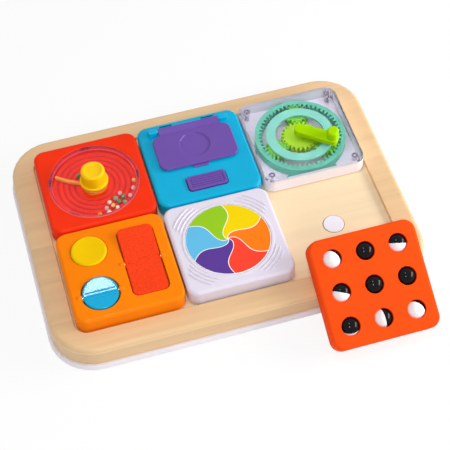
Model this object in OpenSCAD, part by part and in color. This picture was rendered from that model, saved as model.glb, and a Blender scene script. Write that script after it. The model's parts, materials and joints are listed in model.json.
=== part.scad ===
// Busy board: a wooden tray on a base panel, with six magnetic play tiles.
// Origin on the table under the tray's centre, +X right, +Y back, +Z up, millimetres.

/* [Tiles] */
// Side of a square tile
tile_w = 96; // [86:0.5:110]
// Height of a tile
tile_h = 16; // [14:0.5:24]
// Corner radius of a tile, seen from above
tile_corner_r = 10; // [7:0.5:14]
// Rounding of a tile's top edge
tile_round = 2.5; // [1:0.25:3]
// Wall of a tile's shell
tile_wall = 2.5; // [1.5:0.1:3]
// Thickness of a shell's top plate
tile_top = 2.5; // [2:0.1:2.8]
// Thickness of a tile's back cover
back_t = 3; // [2.6:0.1:3.3]
// Gap between a back cover and the shell round it
cover_gap = 0.2; // [0.1:0.05:0.5]
// Diameter of the magnet in a back cover
magnet_d = 20; // [10:0.5:24]
// Thickness of that magnet
magnet_t = 1.2; // [0.8:0.1:1.4]
// Gap round a magnet or a disc in its pocket
pocket_gap = 0.1; // [0.05:0.05:0.3]
// Distance of a screw boss from the tile's sides
boss_inset = 8.5; // [8:0.25:10]
// Diameter of a screw boss
boss_d = 6; // [5:0.25:6.5]
// Diameter of a tile screw's shank
screw_d = 2.4; // [2:0.1:3]
// Length of a tile screw's shank
screw_len = 8; // [6:0.5:9]
// Diameter of a tile screw's head
screw_head_d = 4.6; // [4:0.1:5.5]
// Height of a tile screw's head
screw_head_h = 1.4; // [1:0.1:1.8]

/* [Tray] */
// Gap between neighbouring tiles
tile_gap = 1.5; // [1:0.1:3]
// Gap between the outer tiles and the recess wall
recess_gap = 1.5; // [1:0.1:3]
// Depth of the recess in the wood
recess_depth = 3.5; // [2.5:0.5:8]
// Width of the wooden rim at the left and right
rim_side = 21; // [18:0.5:40]
// Width of the wooden rim at the front and back
rim_front = 21; // [18:0.5:40]
// Height of the wooden part
wood_h = 19.5; // [16:0.5:30]
// Corner radius of the wood, seen from above
tray_corner_r = 38; // [24:1:44]
// Rounding of the wood's top edge
tray_round = 4.5; // [2:0.5:6]
// Thickness of the base panel
base_h = 6; // [4:0.5:10]
// How far the base panel stands out past the wood
base_lip = 2.5; // [0:0.25:3]
// Diameter of a magnet disc in the recess floor
disc_d = 19; // [12:0.5:26]
// Thickness of a magnet disc
disc_t = 4; // [2:0.5:6]
// How far a magnet disc stands above the recess floor
disc_rise = 0.5; // [0.2:0.1:1]
// Diameter of a base screw's shank
base_screw_d = 3.5; // [2.5:0.1:5]
// Length of a base screw's shank
base_screw_len = 14; // [8:0.5:16]
// Diameter of a base screw's head
base_head_d = 7; // [6:0.25:9]
// Height of a base screw's head
base_head_h = 2.5; // [1.5:0.1:3]

/* [Loose tile] */
// How far the loose tile leans back on the tray's edge, in degrees
lean_tilt = 28; // [24:0.2:36]
// How far right of the empty bay's middle it leans
lean_shift = 8.4; // [0:0.1:12]
// Gap where it rests on the table and on the tray's edge
lean_gap = 0.2; // [0.1:0.05:0.4]

/* [Bead tile] */
// Distance of the clear window from the tile's sides
window_edge = 6.6; // [6:0.1:9]
// Thickness of the window
window_t = 2; // [1.5:0.1:3]
// Width of the ledge that the window lies on
window_ledge = 3.4; // [2:0.1:5]
// Room above the beads, under the window
bead_room = 0.4; // [0.2:0.05:3]
// Thickness of the basin's floor and wall
basin_wall = 1.6; // [1:0.1:1.9]
// Spacing of the ring grooves in the basin's floor
groove_step = 7; // [5:0.5:10]
// Diameter of a bead
bead_d = 4; // [3:0.1:4.4]
// Number of beads that lie along the wall
bead_count = 7; // [3:1:8]
// Diameter of the knob's top
knob_d = 21; // [16:0.5:22]
// Diameter of the knob's foot
knob_foot_d = 26; // [23:0.5:30]
// Height of the knob above the tile
knob_h = 15.5; // [9:0.5:18]
// Diameter of the knob's stem
stem_d = 8; // [6:0.5:10]
// Thickness of the sweeper arm
arm_t = 3; // [2.5:0.25:5]
// Room above the sweeper arm, under the window
arm_room = 0.5; // [0.3:0.1:1.5]
// Radius that the sweeper arm curves on
arm_curve_r = 70; // [50:1:150]

/* [Flip tile] */
// Distance of the lid from the tile's left and right sides
lid_side = 11; // [9:0.5:18]
// Depth of the tile that the lid leaves free, in front and behind together
lid_free = 55; // [54:0.5:60]
// Thickness of the lid
lid_t = 3; // [2.5:0.1:4]
// Corner radius of the lid
lid_corner_r = 8; // [5:0.5:12]
// Rounding of the lid's top edge
lid_round = 1.2; // [0.5:0.1:1.4]
// Gap between the lid and the tile
lid_gap = 0.3; // [0.2:0.05:0.6]
// Distance of the lid's hinge axis from the tile's back
hinge_edge = 11; // [10.5:0.25:12]
// Distance of the lid's back edge in front of the hinge axis
leaf_len = 6; // [5:0.25:8]
// How much narrower the hinge leaf is than the lid, on each side
leaf_inset = 9.5; // [9:0.25:16]
// Diameter of the hinge knuckle
knuckle_d = 4.8; // [4.4:0.1:5.4]
// Diameter of the hinge pin
pin_d = 2.4; // [1.6:0.1:3]
// Width of each hinge ear on the shell
ear_w = 9; // [5:0.5:10]
// Gap between an ear and the leaf
ear_gap = 1.5; // [0.5:0.1:2]
// Width of the lid in front of and behind its round dimple
dimple_rim = 6.2; // [4:0.1:12]
// Margin of the lid over the mirror, left and right
mirror_side = 7; // [4:0.5:14]
// Margin of the lid over the mirror, front and back
mirror_front = 6.5; // [4.5:0.5:11]
// Thickness of the mirror
mirror_t = 1; // [0.6:0.1:1.2]
// Width of the ribbed button
button_w = 36; // [24:0.5:44]
// Depth of the ribbed button, front to back
button_d = 16; // [12:0.5:17]
// How far the ribbed button stands above the tile
button_rise = 1.5; // [1:0.1:3]
// Distance of the ribbed button's middle from the tile's front
button_edge = 18.5; // [17:0.25:20]
// Number of ribs on the button
rib_count = 5; // [3:1:6]
// Travel of the ribbed button
button_travel = 2; // [1:0.1:3]

/* [Gear tile] */
// Gap between the ring gear and the tile's walls
ring_gap = 3.5; // [3:0.1:8]
// Teeth on the sun gear
sun_teeth = 24; // [18:1:25]
// Teeth on a planet gear
planet_teeth = 15; // [12:1:15]
// Gap between the carrier ring and the tile's top plate
carrier_gap = 0.7; // [0.3:0.1:2]
// Height of the gears above the back cover
gear_lift = 1.5; // [1:0.25:2]
// Thickness of the ring gear's wall behind its teeth
ring_wall = 3.9; // [2.5:0.1:4.2]
// Angle of the first planet gear, in degrees from +X
planet_angle = 80; // [70:1:90]
// Reach of the carrier ring inside the planets' circle
carrier_in = 3.4; // [3:0.1:5]
// Reach of the carrier ring outside the planets' circle
carrier_out = 5.2; // [3:0.1:6]
// Thickness of the carrier ring
carrier_t = 2; // [1.5:0.1:2.4]
// Diameter of a carrier pin
planet_pin_d = 4; // [3:0.1:5]
// Diameter of the crank's shaft
shaft_d = 8; // [6:0.25:9]
// Distance of the crank's grip from the tile's sides, when it points at one
crank_edge = 17; // [12:0.5:24]
// Width of the crank's arm
crank_w = 13; // [11:0.5:16]
// Height of the crank's arm
crank_t = 5.5; // [4:0.25:8]
// Height of the crank's grip above its arm
grip_h = 9; // [3:0.5:12]
// Thickness of the crank's grip along its arm
grip_t = 11; // [7:0.5:11.5]
// Angle of the crank at rest, in degrees from +X
crank_angle = -36; // [-50:1:-20]

/* [Switch tile] */
// How much smaller the round button is than a third of the tile
push_slack = 0.2; // [-0.8:0.1:8]
// Distance of the round button's middle from the tile's left
push_side = 26.3; // [25:0.1:28]
// Distance of the round button's middle from the tile's back
push_back = 25.3; // [25:0.1:28]
// How far the round button stands above the tile
push_rise = 1.2; // [0.5:0.1:3]
// Travel of the round button
push_travel = 2.5; // [1:0.1:4]
// How much larger the round rocker is than a third of the tile, less than 0 where it is smaller
disc_extra = -0.6; // [-7:0.1:0]
// Distance of the round rocker's middle from the tile's left
disc_side = 26.5; // [25.5:0.1:27.5]
// Distance of the round rocker's middle from the tile's front
disc_front = 25.5; // [25:0.1:27]
// Tilt of the round rocker at rest, in degrees
disc_rocker_tilt = 7; // [4:0.5:8]
// How much narrower the long rocker is than a third of the tile
long_slack = 1; // [0:0.5:9]
// Length of the tile that the long rocker leaves free, in front and behind together
long_free = 27; // [27:0.5:40]
// Corner radius of the long rocker
long_corner_r = 5; // [3:0.5:8]
// Distance of the long rocker's middle from the tile's right
long_side = 27; // [26:0.1:28]
// Distance of the long rocker's middle behind the tile's middle
long_y = 1; // [0:0.1:2]
// Tilt of the long rocker at rest, in degrees
long_tilt = 3.5; // [2:0.25:4]
// Gap round a rocker in its opening
rocker_gap = 1.4; // [0.8:0.05:1.6]
// Diameter of a rocker's pin
rocker_pin_d = 1.8; // [1.2:0.1:2.2]
// Diameter of the bumps that hold a rocker's pin
bump_d = 6; // [5:0.1:6.5]
// Length of a bump
bump_len = 3.4; // [2.5:0.1:4]

/* [Wheel tile] */
// Distance of the colour wheel from the tile's sides
wheel_edge = 10.5; // [10:0.25:18]
// Thickness of the colour wheel
wheel_t = 2; // [1.5:0.1:3]
// How far the wheel stands above the tile
wheel_rise = 0.4; // [0.2:0.1:0.8]
// Width of the rim round the wheel
wheel_rim = 2; // [1:0.25:3]
// Diameter of the wheel's axle
axle_d = 6; // [4:0.25:8]
// Distance of the first ridge in the tile's corners from the wheel
ridge_gap = 5.4; // [5:0.1:7]
// Spacing of the ridges
ridge_step = 3.5; // [2.5:0.1:4]

/* [Ball tile] */
// Diameter of a ball's hole, a little less than the ball's own
ball_hole_d = 16.2; // [14:0.1:17]
// Thickness of the back cover between a ball and the magnet
dish_wall = 0.5; // [0.3:0.1:1]
// Distance of the outer balls' middles from the tile's sides
ball_edge = 18.5; // [18.2:0.1:22]

/* [Hidden] */
$fn = 64;
eps = 0.02;

// Clearances
seat_gap = 0.1;
run_gap = 0.05;
slide_gap = 0.3;
turn_gap = 0.2;
ball_gap = 0.3;
pilot_gap = 0.05;
stem_gap = 0.1;

// Small fixed details
head_seat = 0.1;
cross_rim = 0.9;
cross_w = 0.8;
groove_d = 0.5;
groove_w = 1.2;
flange_t = 1.5;
flange_lip = 2;
pilot_tip = 1;
cut_over = 1;
hub_wall = 8;
pivot_step = 1.5;
arm_end_gap = 0.7;
arm_angle = 168;
notch_angles = [90, 164, 231, 357];
bead_start = -11;
bead_step = 14;
// Inner heaps of beads: row, first angle, step of angle, count
bead_heaps = [[1, -46, 12, 4], [2, -42, 15, 3]];
bead_spread = 0.7;
bead_edge = 0.4;
stray_angle = 134;
stray_gap = 3.5;
knob_foot_h = 2.2;
knob_foot_round = 1;
knob_crown = 1.6;
knob_taper = 2;
dish_rim = 2;
dish_slope = 1.5;
dish_depth = 0.8;
slot_w = 12;
slot_d = 2.4;
slot_x = 20;
slot_gap = 2.6;
tab_w = 15.4;
tab_reach = 2.6;
tab_lap = 1;
leaf_lap = 2;
leaf_step = 0.3;
pin_inset = 1;
dimple_y = 2;
rib_d = 0.9;
rib_margin = 3;
button_round = 0.8;
dimple_depth = 0.8;
ridge_h = 0.5;
ridge_w = 1.2;
ridge_count = 3;
ridge_span = 44;
rim_h = 0.5;
spring_wire = 1;
spring_r = 5;
spring_turns = 5;
spring_post_d = 6;
spring_post_h = 3;
small_corner_r = 3;
cup_r = 7;
cup_lip = 1;
notch_w = 8;
notch_d = 1.2;
tooth_tip = 0.14;
tooth_root = 0.30;
addend_share = 0.9;
dedend_share = 1.25;
ring_rise = 1;
shaft_cover = 1.5;
crank_round = 1;
grip_inset = 0.5;
pin_foot_gap = 1;
post_d = 6;
planet_hub_d = 10;
sun_hub_d = 13;
valley_drop = 0.6;
rocker_under = 3.6;
pin_skin = 0.45;
bump_cap = 0.5;
push_round = 1.4;
bar_inset = 2;
grip_ridge_r = 0.9;
grip_ridge_step = 2.8;
wheel_round = 0.5;
axle_flange_d = 12;
axle_flange_t = 1.7;
axle_tail = 3;

// Tray
tile_pitch = tile_w + tile_gap;
recess_w = 3 * tile_w + 2 * tile_gap + 2 * recess_gap;
recess_d = 2 * tile_w + tile_gap + 2 * recess_gap;
recess_r = tile_corner_r + recess_gap;
wood_w = recess_w + 2 * rim_side;
wood_d = recess_d + 2 * rim_front;
wood_top = base_h + wood_h;
floor_z = wood_top - recess_depth;
seat_z = floor_z + disc_rise + seat_gap;
bays = [for (r = [1, -1], c = [-1, 0, 1]) [c * tile_pitch, r * tile_pitch / 2]];
disc_pocket = disc_t - disc_rise;
base_pilot = base_screw_len + base_head_h - base_h + pilot_tip;
base_screw_x = recess_w / 2 + rim_side / 2;
base_screw_y = recess_d / 2 + rim_front / 2;
base_spots = concat(
    [for (sx = [-1, 1], sy = [-1, 1]) [sx * base_screw_x, sy * tile_pitch / 2]],
    [for (sx = [-1, 1], sy = [-1, 1]) [sx * tile_pitch, sy * base_screw_y]]);

// Where the loose tile's front edge stands, so that its underside lies on the tray's rounded edge
edge_y = -wood_d / 2 + tray_round;
edge_z = wood_top - tray_round;
lean_front = edge_y - (tray_round + lean_gap + (edge_z - lean_gap) * cos(lean_tilt)) / sin(lean_tilt);
lean_at = [
    tile_pitch + lean_shift,
    lean_front + tile_w / 2 * cos(lean_tilt),
    lean_gap + tile_w / 2 * sin(lean_tilt)];

// Tile shells
under_top = tile_h - tile_top;
cavity_w = tile_w - 2 * tile_wall;
cavity_r = tile_corner_r - tile_wall;
cover_w = cavity_w - 2 * cover_gap;
cover_r = cavity_r - cover_gap;
boss_at = tile_w / 2 - boss_inset;
corners = [for (sx = [-1, 1], sy = [-1, 1]) [sx, sy]];
head_top = screw_head_h + head_seat;

// Bead tile
window_d = tile_w - 2 * window_edge;
basin_d = window_d - 2 * window_ledge;
basin_lid = tile_h - window_t;
basin_floor = basin_lid - bead_room - bead_d;
basin_depth = tile_h - basin_floor;
hub_z = basin_floor + slide_gap;
arm_h = basin_lid - arm_room - hub_z;
hub_d = stem_d + 2 * hub_wall;
pivot_d = stem_d - 2 * pivot_step;
arm_reach = basin_d / 2 - arm_end_gap;
arm_turn = arm_reach / arm_curve_r * 180 / PI;
bead_row = bead_d + bead_spread;

// Flip tile
lid_w = tile_w - 2 * lid_side;
lid_d = tile_w - lid_free;
leaf_w = lid_w - 2 * leaf_inset;
dimple_d = lid_d - 2 * dimple_rim;
mirror_w = lid_w - 2 * mirror_side;
mirror_d = lid_d - 2 * mirror_front;
hinge_y = tile_w / 2 - hinge_edge;
button_y = button_edge - tile_w / 2;
lid_z = tile_h + lid_gap;
lid_back = hinge_y - leaf_len;
lid_y = lid_back - lid_d / 2;
hinge_z = tile_h + lid_gap + knuckle_d / 2;
ear_x = leaf_w / 2 + ear_gap;
pin_len = 2 * (ear_x + ear_w - pin_inset);
button_flange_z = under_top - slide_gap - flange_t;
spring_z = back_t + run_gap;
post_top = back_t + spring_post_h;
button_stem = button_flange_z - post_top - button_travel - seat_gap;
button_top = tile_h + button_rise - button_flange_z;

// Gear tile
ring_teeth = sun_teeth + 2 * planet_teeth;
gear_m = (cavity_w / 2 - ring_gap - ring_wall) / (ring_teeth / 2 + dedend_share);
addend = addend_share * gear_m;
dedend = dedend_share * gear_m;
crank_len = tile_w / 2 - crank_edge;
sun_r = sun_teeth * gear_m / 2;
planet_r = planet_teeth * gear_m / 2;
ring_r = ring_teeth * gear_m / 2;
orbit_r = sun_r + planet_r;
mesh_steps = sun_teeth + ring_teeth;
gear_z = back_t + gear_lift;
gear_t = under_top - carrier_gap - carrier_t - slide_gap - gear_z;
gear_top = gear_z + gear_t;
carrier_z = gear_top + slide_gap;
ring_top = gear_top + ring_rise;
crank_z = tile_h + slide_gap;
shaft_top = crank_z + crank_t - shaft_cover;
post_h = gear_lift + gear_t / 2;
planet_angles = [for (k = [0:2]) planet_angle + round(k * mesh_steps / 3) * 360 / mesh_steps];

// Switch tile
push_d = tile_w / 3 - push_slack;
push_x = push_side - tile_w / 2;
push_y = tile_w / 2 - push_back;
disc_rocker_d = tile_w / 3 + disc_extra;
disc_rocker_x = disc_side - tile_w / 2;
disc_rocker_y = disc_front - tile_w / 2;
long_w = tile_w / 3 - long_slack;
long_d = tile_w - long_free;
long_x = tile_w / 2 - long_side;
push_flange_z = under_top - slide_gap - flange_t;
push_stem = push_flange_z - post_top - push_travel - seat_gap;
pivot_z = tile_h - valley_drop - pin_skin - run_gap - rocker_pin_d / 2;
bump_bore = bump_len - bump_cap;
disc_open_d = disc_rocker_d + 2 * rocker_gap;
long_open_w = long_w + 2 * rocker_gap;
long_open_d = long_d + 2 * rocker_gap;
valley_z = tile_h - valley_drop - pivot_z;

// Wheel tile
wheel_d = tile_w - 2 * wheel_edge;
ridge_r = wheel_d / 2 + ridge_gap;
wheel_z = tile_h + wheel_rise - wheel_t;
wheel_floor = wheel_z - turn_gap;
wheel_under = wheel_floor - tile_top;
wheel_hole_d = wheel_d + 2 * slide_gap;
flat_w = tile_w - 2 * tile_round;

// Ball tile
ball_pitch = tile_w / 2 - ball_edge;
ball_floor = magnet_t + seat_gap + dish_wall;
ball_room = under_top - ball_floor - 2 * ball_gap;
ball_r = (ball_room + ball_hole_d * ball_hole_d / 4 / ball_room) / 2;
ball_z = ball_floor + ball_gap + ball_r;
ball_spots = [for (r = [1, 0, -1], c = [-1, 0, 1]) ball_pitch * [c, r]];

bead_at = [bays[0].x, bays[0].y, seat_z];
flip_at = [bays[1].x, bays[1].y, seat_z];
gear_at = [bays[2].x, bays[2].y, seat_z];
switch_at = [bays[3].x, bays[3].y, seat_z];
wheel_at = [bays[4].x, bays[4].y, seat_z];

// Outline of a rounded rectangle
module plan(w, d, r) {
    square([w - 2 * r, d], center = true);
    square([w, d - 2 * r], center = true);
    for (c = corners)
        translate([c.x * (w / 2 - r), c.y * (d / 2 - r)])
            circle(r);
}

// Plate with round corners and sharp edges
module slab(w, d, h, r) {
    linear_extrude(h)
        plan(w, d, r);
}

// Half section of a plate's edge, with its top corner rounded
module edge_section(r, h, e) {
    square([r, h - e]);
    square([r - e, h]);
    translate([r - e, h - e])
        circle(e);
}

// Plate with round corners and a rounded top edge
module soft_slab(w, d, h, r, e) {
    translate([-(w / 2 - r), -(d / 2 - r), 0])
        cube([w - 2 * r, d - 2 * r, h]);
    for (q = [0:3]) {
        sx = q == 0 || q == 3 ? 1 : -1;
        sy = q < 2 ? 1 : -1;
        translate([sx * (w / 2 - r), sy * (d / 2 - r), 0])
            rotate([0, 0, 90 * q])
                rotate_extrude(angle = 90)
                    edge_section(r, h, e);
        along = q % 2 == 0 ? d - 2 * r : w - 2 * r;
        out = q % 2 == 0 ? w / 2 - r : d / 2 - r;
        rotate([0, 0, 90 * q])
            translate([out, 0, 0])
                rotate([90, 0, 0])
                    linear_extrude(along, center = true)
                        edge_section(r, h, e);
    }
}

// Round disc with a rounded top edge
module soft_disc(d, h, e) {
    rotate_extrude()
        edge_section(d / 2, h, e);
}

// Bar along X, centred
module cross_bar(d, len) {
    rotate([0, 90, 0])
        cylinder(d = d, h = len, center = true);
}

// Coil spring standing on z = 0, as one six-sided wire
module coil_spring(r, wire, turns, h) {
    sides = 6;
    steps = turns * 12;
    rise = h - wire;
    points = [for (i = [0:steps], s = [0:sides - 1])
        let (a = 360 * turns * i / steps, b = 360 * s / sides, out = r + wire / 2 * cos(b))
        [out * cos(a), out * sin(a), wire / 2 + rise * i / steps + wire / 2 * sin(b)]];
    tube = [for (i = [0:steps - 1], s = [0:sides - 1], half = [0, 1])
        let (n = (s + 1) % sides, a = i * sides + s, b = i * sides + n)
        half == 0 ? [a, a + sides, b] : [b, a + sides, b + sides]];
    end = steps * sides;
    first = [for (s = [1:sides - 2]) [0, s, s + 1]];
    last = [for (s = [1:sides - 2]) [end, end + s + 1, end + s]];
    polyhedron(points = points, faces = concat(tube, first, last));
}

// Points of a gear's outline
function gear_outline(n, tip_r, root_r) = [
    for (i = [0:n - 1],
        s = [[-tooth_root, root_r], [-tooth_tip, tip_r], [tooth_tip, tip_r], [tooth_root, root_r]])
    let (a = (i + s[0]) * 360 / n)
    s[1] * [cos(a), sin(a)]];

// Turn of a planet at an angle, so that its teeth fall between the sun's
function planet_turn(a) = a + 180 - 360 / planet_teeth * (0.5 - a * sun_teeth / 360);

// Turn of the ring gear, so that the first planet's teeth fall between its own
function ring_turn() =
    let (a = planet_angles[0], step = (a - planet_turn(a)) * planet_teeth / 360 - 0.5)
    a - step * 360 / ring_teeth;

// Screw with its head at the bottom and a cross in the head
module screw(head_d, head_h, d, len) {
    difference() {
        cylinder(d = head_d, h = head_h);
        for (turn = [0, 90])
            rotate([0, 0, turn])
                cube([head_d - 2 * cross_rim, cross_w, head_h], center = true);
    }
    translate([0, 0, head_h])
        cylinder(d = d, h = len);
}

module at_bosses() {
    for (c = corners)
        translate([c.x * boss_at, c.y * boss_at, 0])
            children();
}

// Empty tile shell, open below, with its screw bosses
module shell_blank() {
    difference() {
        soft_slab(tile_w, tile_w, tile_h, tile_corner_r, tile_round);
        translate([0, 0, -eps])
            slab(cavity_w, cavity_w, under_top + eps, cavity_r);
    }
    at_bosses()
        translate([0, 0, back_t])
            cylinder(d = boss_d, h = under_top - back_t);
}

// Pilot bores in the screw bosses
module shell_pilots() {
    at_bosses()
        translate([0, 0, back_t - eps])
            cylinder(d = screw_d + 2 * pilot_gap, h = screw_len + eps);
}

// Flat back cover with its magnet pocket and screw holes
module back_blank() {
    difference() {
        slab(cover_w, cover_w, back_t, cover_r);
        translate([0, 0, -eps])
            cylinder(d = magnet_d + 2 * pocket_gap, h = magnet_t + seat_gap + eps);
        at_bosses() {
            translate([0, 0, -eps])
                cylinder(d = screw_head_d + 2 * turn_gap, h = head_top + eps);
            cylinder(d = screw_d + 2 * turn_gap, h = back_t + eps);
        }
    }
}

module back_magnet() {
    translate([0, 0, seat_gap])
        cylinder(d = magnet_d, h = magnet_t);
}

module back_screws() {
    at_bosses()
        translate([0, 0, head_seat])
            screw(screw_head_d, screw_head_h, screw_d, screw_len);
}

module at_lean() {
    translate(lean_at)
        rotate([lean_tilt, 0, 0])
            children();
}

// Tray
module wood_tray() {
    color("burlywood")
        difference() {
            translate([0, 0, base_h])
                soft_slab(wood_w, wood_d, wood_h, tray_corner_r, tray_round);
            translate([0, 0, floor_z])
                slab(recess_w, recess_d, recess_depth + eps, recess_r);
            for (b = bays)
                translate([b.x, b.y, floor_z - disc_pocket])
                    cylinder(d = disc_d + 2 * pocket_gap, h = disc_pocket + eps);
            for (s = base_spots)
                translate([s.x, s.y, base_h - eps])
                    cylinder(d = base_screw_d + 2 * pilot_gap, h = base_pilot);
        }
}

module base_panel() {
    color("ghostwhite")
        difference() {
            slab(wood_w + 2 * base_lip, wood_d + 2 * base_lip, base_h, tray_corner_r + base_lip);
            for (s = base_spots)
                translate([s.x, s.y, -eps]) {
                    cylinder(d = base_head_d + 2 * turn_gap, h = base_head_h + head_seat + eps);
                    cylinder(d = base_screw_d + 2 * turn_gap, h = base_h + 2 * eps);
                }
        }
}

module magnet_discs() {
    color("white")
        for (b = bays)
            translate([b.x, b.y, floor_z - disc_pocket])
                cylinder(d = disc_d, h = disc_t);
}

module base_screws() {
    color("silver")
        for (s = base_spots)
            translate([s.x, s.y, head_seat])
                screw(base_head_d, base_head_h, base_screw_d, base_screw_len);
}

// Bead tile
module bead_shell() {
    color([0.95, 0.22, 0.08])
        translate(bead_at)
            difference() {
                union() {
                    shell_blank();
                    translate([0, 0, basin_floor - basin_wall])
                        cylinder(d = basin_d + 2 * basin_wall, h = under_top - basin_floor + basin_wall);
                    window_seat();
                }
                translate([0, 0, basin_lid])
                    cylinder(d = window_d + 2 * pocket_gap, h = window_t + eps);
                translate([0, 0, basin_floor])
                    cylinder(d = basin_d, h = basin_depth);
                for (r = [hub_d / 2 + groove_step / 2 : groove_step : basin_d / 2 - groove_w])
                    ring_groove(r);
                for (a = notch_angles)
                    rotate([0, 0, a])
                        translate([window_d / 2 - eps, -notch_w / 2, tile_h - notch_d])
                            cube([notch_d, notch_w, notch_d + eps]);
                translate([0, 0, basin_floor - basin_wall - eps])
                    cylinder(d = pivot_d + 2 * run_gap, h = basin_wall + 2 * eps);
                shell_pilots();
            }
}

// Ring under the top plate that thickens the ledge where the window lies
module window_seat() {
    translate([0, 0, basin_lid - basin_wall])
        cylinder(d = window_d + 2 * basin_wall, h = under_top - basin_lid + basin_wall);
}

module ring_groove(r) {
    translate([0, 0, basin_floor])
        rotate_extrude()
            translate([r - groove_w / 2, -groove_d])
                square([groove_w, groove_d + eps]);
}

module bead_back() {
    color([0.95, 0.22, 0.08])
        translate(bead_at)
            back_blank();
}

module bead_magnet() {
    color("dimgray")
        translate(bead_at)
            back_magnet();
}

module bead_screws() {
    color("silver")
        translate(bead_at)
            back_screws();
}

module bead_window() {
    color([0.9, 0.95, 1, 0.3])
        translate(bead_at + [0, 0, basin_lid])
            difference() {
                soft_disc(window_d, window_t, window_t / 4);
                translate([0, 0, -eps])
                    cylinder(d = stem_d + 2 * stem_gap, h = window_t + 2 * eps);
            }
}

module bead_sweeper() {
    color([1, 0.75, 0.15])
        translate(bead_at)
            difference() {
                union() {
                    translate([0, 0, hub_z])
                        cylinder(d = hub_d, h = basin_lid - slide_gap - hub_z);
                    rotate([0, 0, arm_angle])
                        translate([0, -arm_curve_r, hub_z])
                            rotate([0, 0, 90 - arm_turn])
                                rotate_extrude(angle = arm_turn)
                                    translate([arm_curve_r - arm_t / 2, 0])
                                        square([arm_t, arm_h]);
                }
                translate([0, 0, basin_floor])
                    cylinder(d = stem_d + 2 * run_gap, h = basin_depth);
            }
}

module bead_knob() {
    top = knob_h - slide_gap;
    dish_d = knob_d - 2 * dish_rim;
    color([1, 0.78, 0.05])
        translate(bead_at) {
            translate([0, 0, tile_h + slide_gap])
                difference() {
                    union() {
                        soft_disc(knob_foot_d, knob_foot_h, knob_foot_round);
                        cylinder(d1 = knob_d + knob_taper, d2 = knob_d, h = top - knob_crown);
                        soft_disc(knob_d, top, knob_crown);
                    }
                    translate([0, 0, top - dish_depth])
                        cylinder(d1 = dish_d - 2 * dish_slope, d2 = dish_d, h = dish_depth + eps);
                }
            translate([0, 0, basin_floor + slide_gap])
                cylinder(d = stem_d, h = basin_depth + eps);
            translate([0, 0, basin_floor - basin_wall])
                cylinder(d = pivot_d, h = basin_wall + slide_gap + eps);
        }
}

// Loose beads, most of them heaped along the basin's wall, one astray by the hub
module beads() {
    wall_r = basin_d / 2 - bead_d / 2 - bead_edge;
    color([0.35, 0.75, 0.25])
        translate(bead_at) {
            for (heap = concat([[0, bead_start, bead_step, bead_count]], bead_heaps))
                for (i = [0:heap[3] - 1])
                    bead(wall_r - heap[0] * bead_row, heap[1] - i * heap[2]);
            bead(hub_d / 2 + stray_gap + bead_d / 2, stray_angle);
        }
}

module bead(r, a) {
    rotate([0, 0, a])
        translate([r, 0, basin_floor + bead_d / 2 + run_gap])
            sphere(d = bead_d);
}

// Flip tile
module flip_shell() {
    color([0, 0.7, 0.86])
        translate(flip_at)
            difference() {
                union() {
                    shell_blank();
                    for (s = [-1, 1])
                        translate([s * (ear_x + ear_w / 2), hinge_y, 0]) {
                            translate([0, 0, hinge_z])
                                cross_bar(knuckle_d, ear_w);
                            translate([-ear_w / 2, -knuckle_d / 2, under_top])
                                cube([ear_w, knuckle_d, hinge_z - under_top]);
                        }
                }
                translate([0, hinge_y, hinge_z])
                    cross_bar(pin_d + 2 * run_gap, pin_len);
                translate([0, lid_y, tile_h - mirror_t - seat_gap])
                    slab(
                        mirror_w + 2 * pocket_gap,
                        mirror_d + 2 * pocket_gap,
                        mirror_t + seat_gap + eps,
                        small_corner_r + pocket_gap);
                for (s = [-1, 1])
                    translate([s * slot_x - slot_w / 2, hinge_y + knuckle_d / 2 + slot_gap, under_top - eps])
                        cube([slot_w, slot_d, tile_top + 2 * eps]);
                translate([0, button_y, under_top - eps])
                    slab(
                        button_w + 2 * slide_gap,
                        button_d + 2 * slide_gap,
                        tile_top + 2 * eps,
                        small_corner_r + slide_gap);
                shell_pilots();
            }
}

module flip_back() {
    color([0, 0.7, 0.86])
        translate(flip_at) {
            back_blank();
            translate([0, button_y, back_t])
                cylinder(d = spring_post_d, h = spring_post_h);
        }
}

module flip_magnet() {
    color("dimgray")
        translate(flip_at)
            back_magnet();
}

module flip_screws() {
    color("silver")
        translate(flip_at)
            back_screws();
}

module flip_lid() {
    color([0.46, 0.31, 0.7])
        translate(flip_at)
            difference() {
                union() {
                    translate([0, lid_y, lid_z])
                        soft_slab(lid_w, lid_d, lid_t, lid_corner_r, lid_round);
                    translate([-leaf_w / 2, lid_back - leaf_lap, lid_z])
                        cube([leaf_w, leaf_len + leaf_lap, lid_t - leaf_step]);
                    translate([0, hinge_y, hinge_z])
                        cross_bar(knuckle_d, leaf_w);
                    translate([0, lid_y - lid_d / 2 + tab_lap / 2, lid_z])
                        slab(tab_w, 2 * tab_reach + tab_lap, lid_t - lid_round, tab_reach);
                }
                translate([0, lid_y + dimple_y, lid_z + lid_t - dimple_depth])
                    cylinder(d = dimple_d, h = dimple_depth + eps);
                translate([0, hinge_y, hinge_z])
                    cross_bar(pin_d + 2 * run_gap, leaf_w + 2 * eps);
            }
}

module lid_hinge_pin() {
    color("silver")
        translate(flip_at + [0, hinge_y, hinge_z])
            cross_bar(pin_d, pin_len);
}

module peek_mirror() {
    color("aliceblue")
        translate(flip_at + [0, lid_y, tile_h - mirror_t - seat_gap])
            slab(mirror_w, mirror_d, mirror_t, small_corner_r);
}

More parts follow.
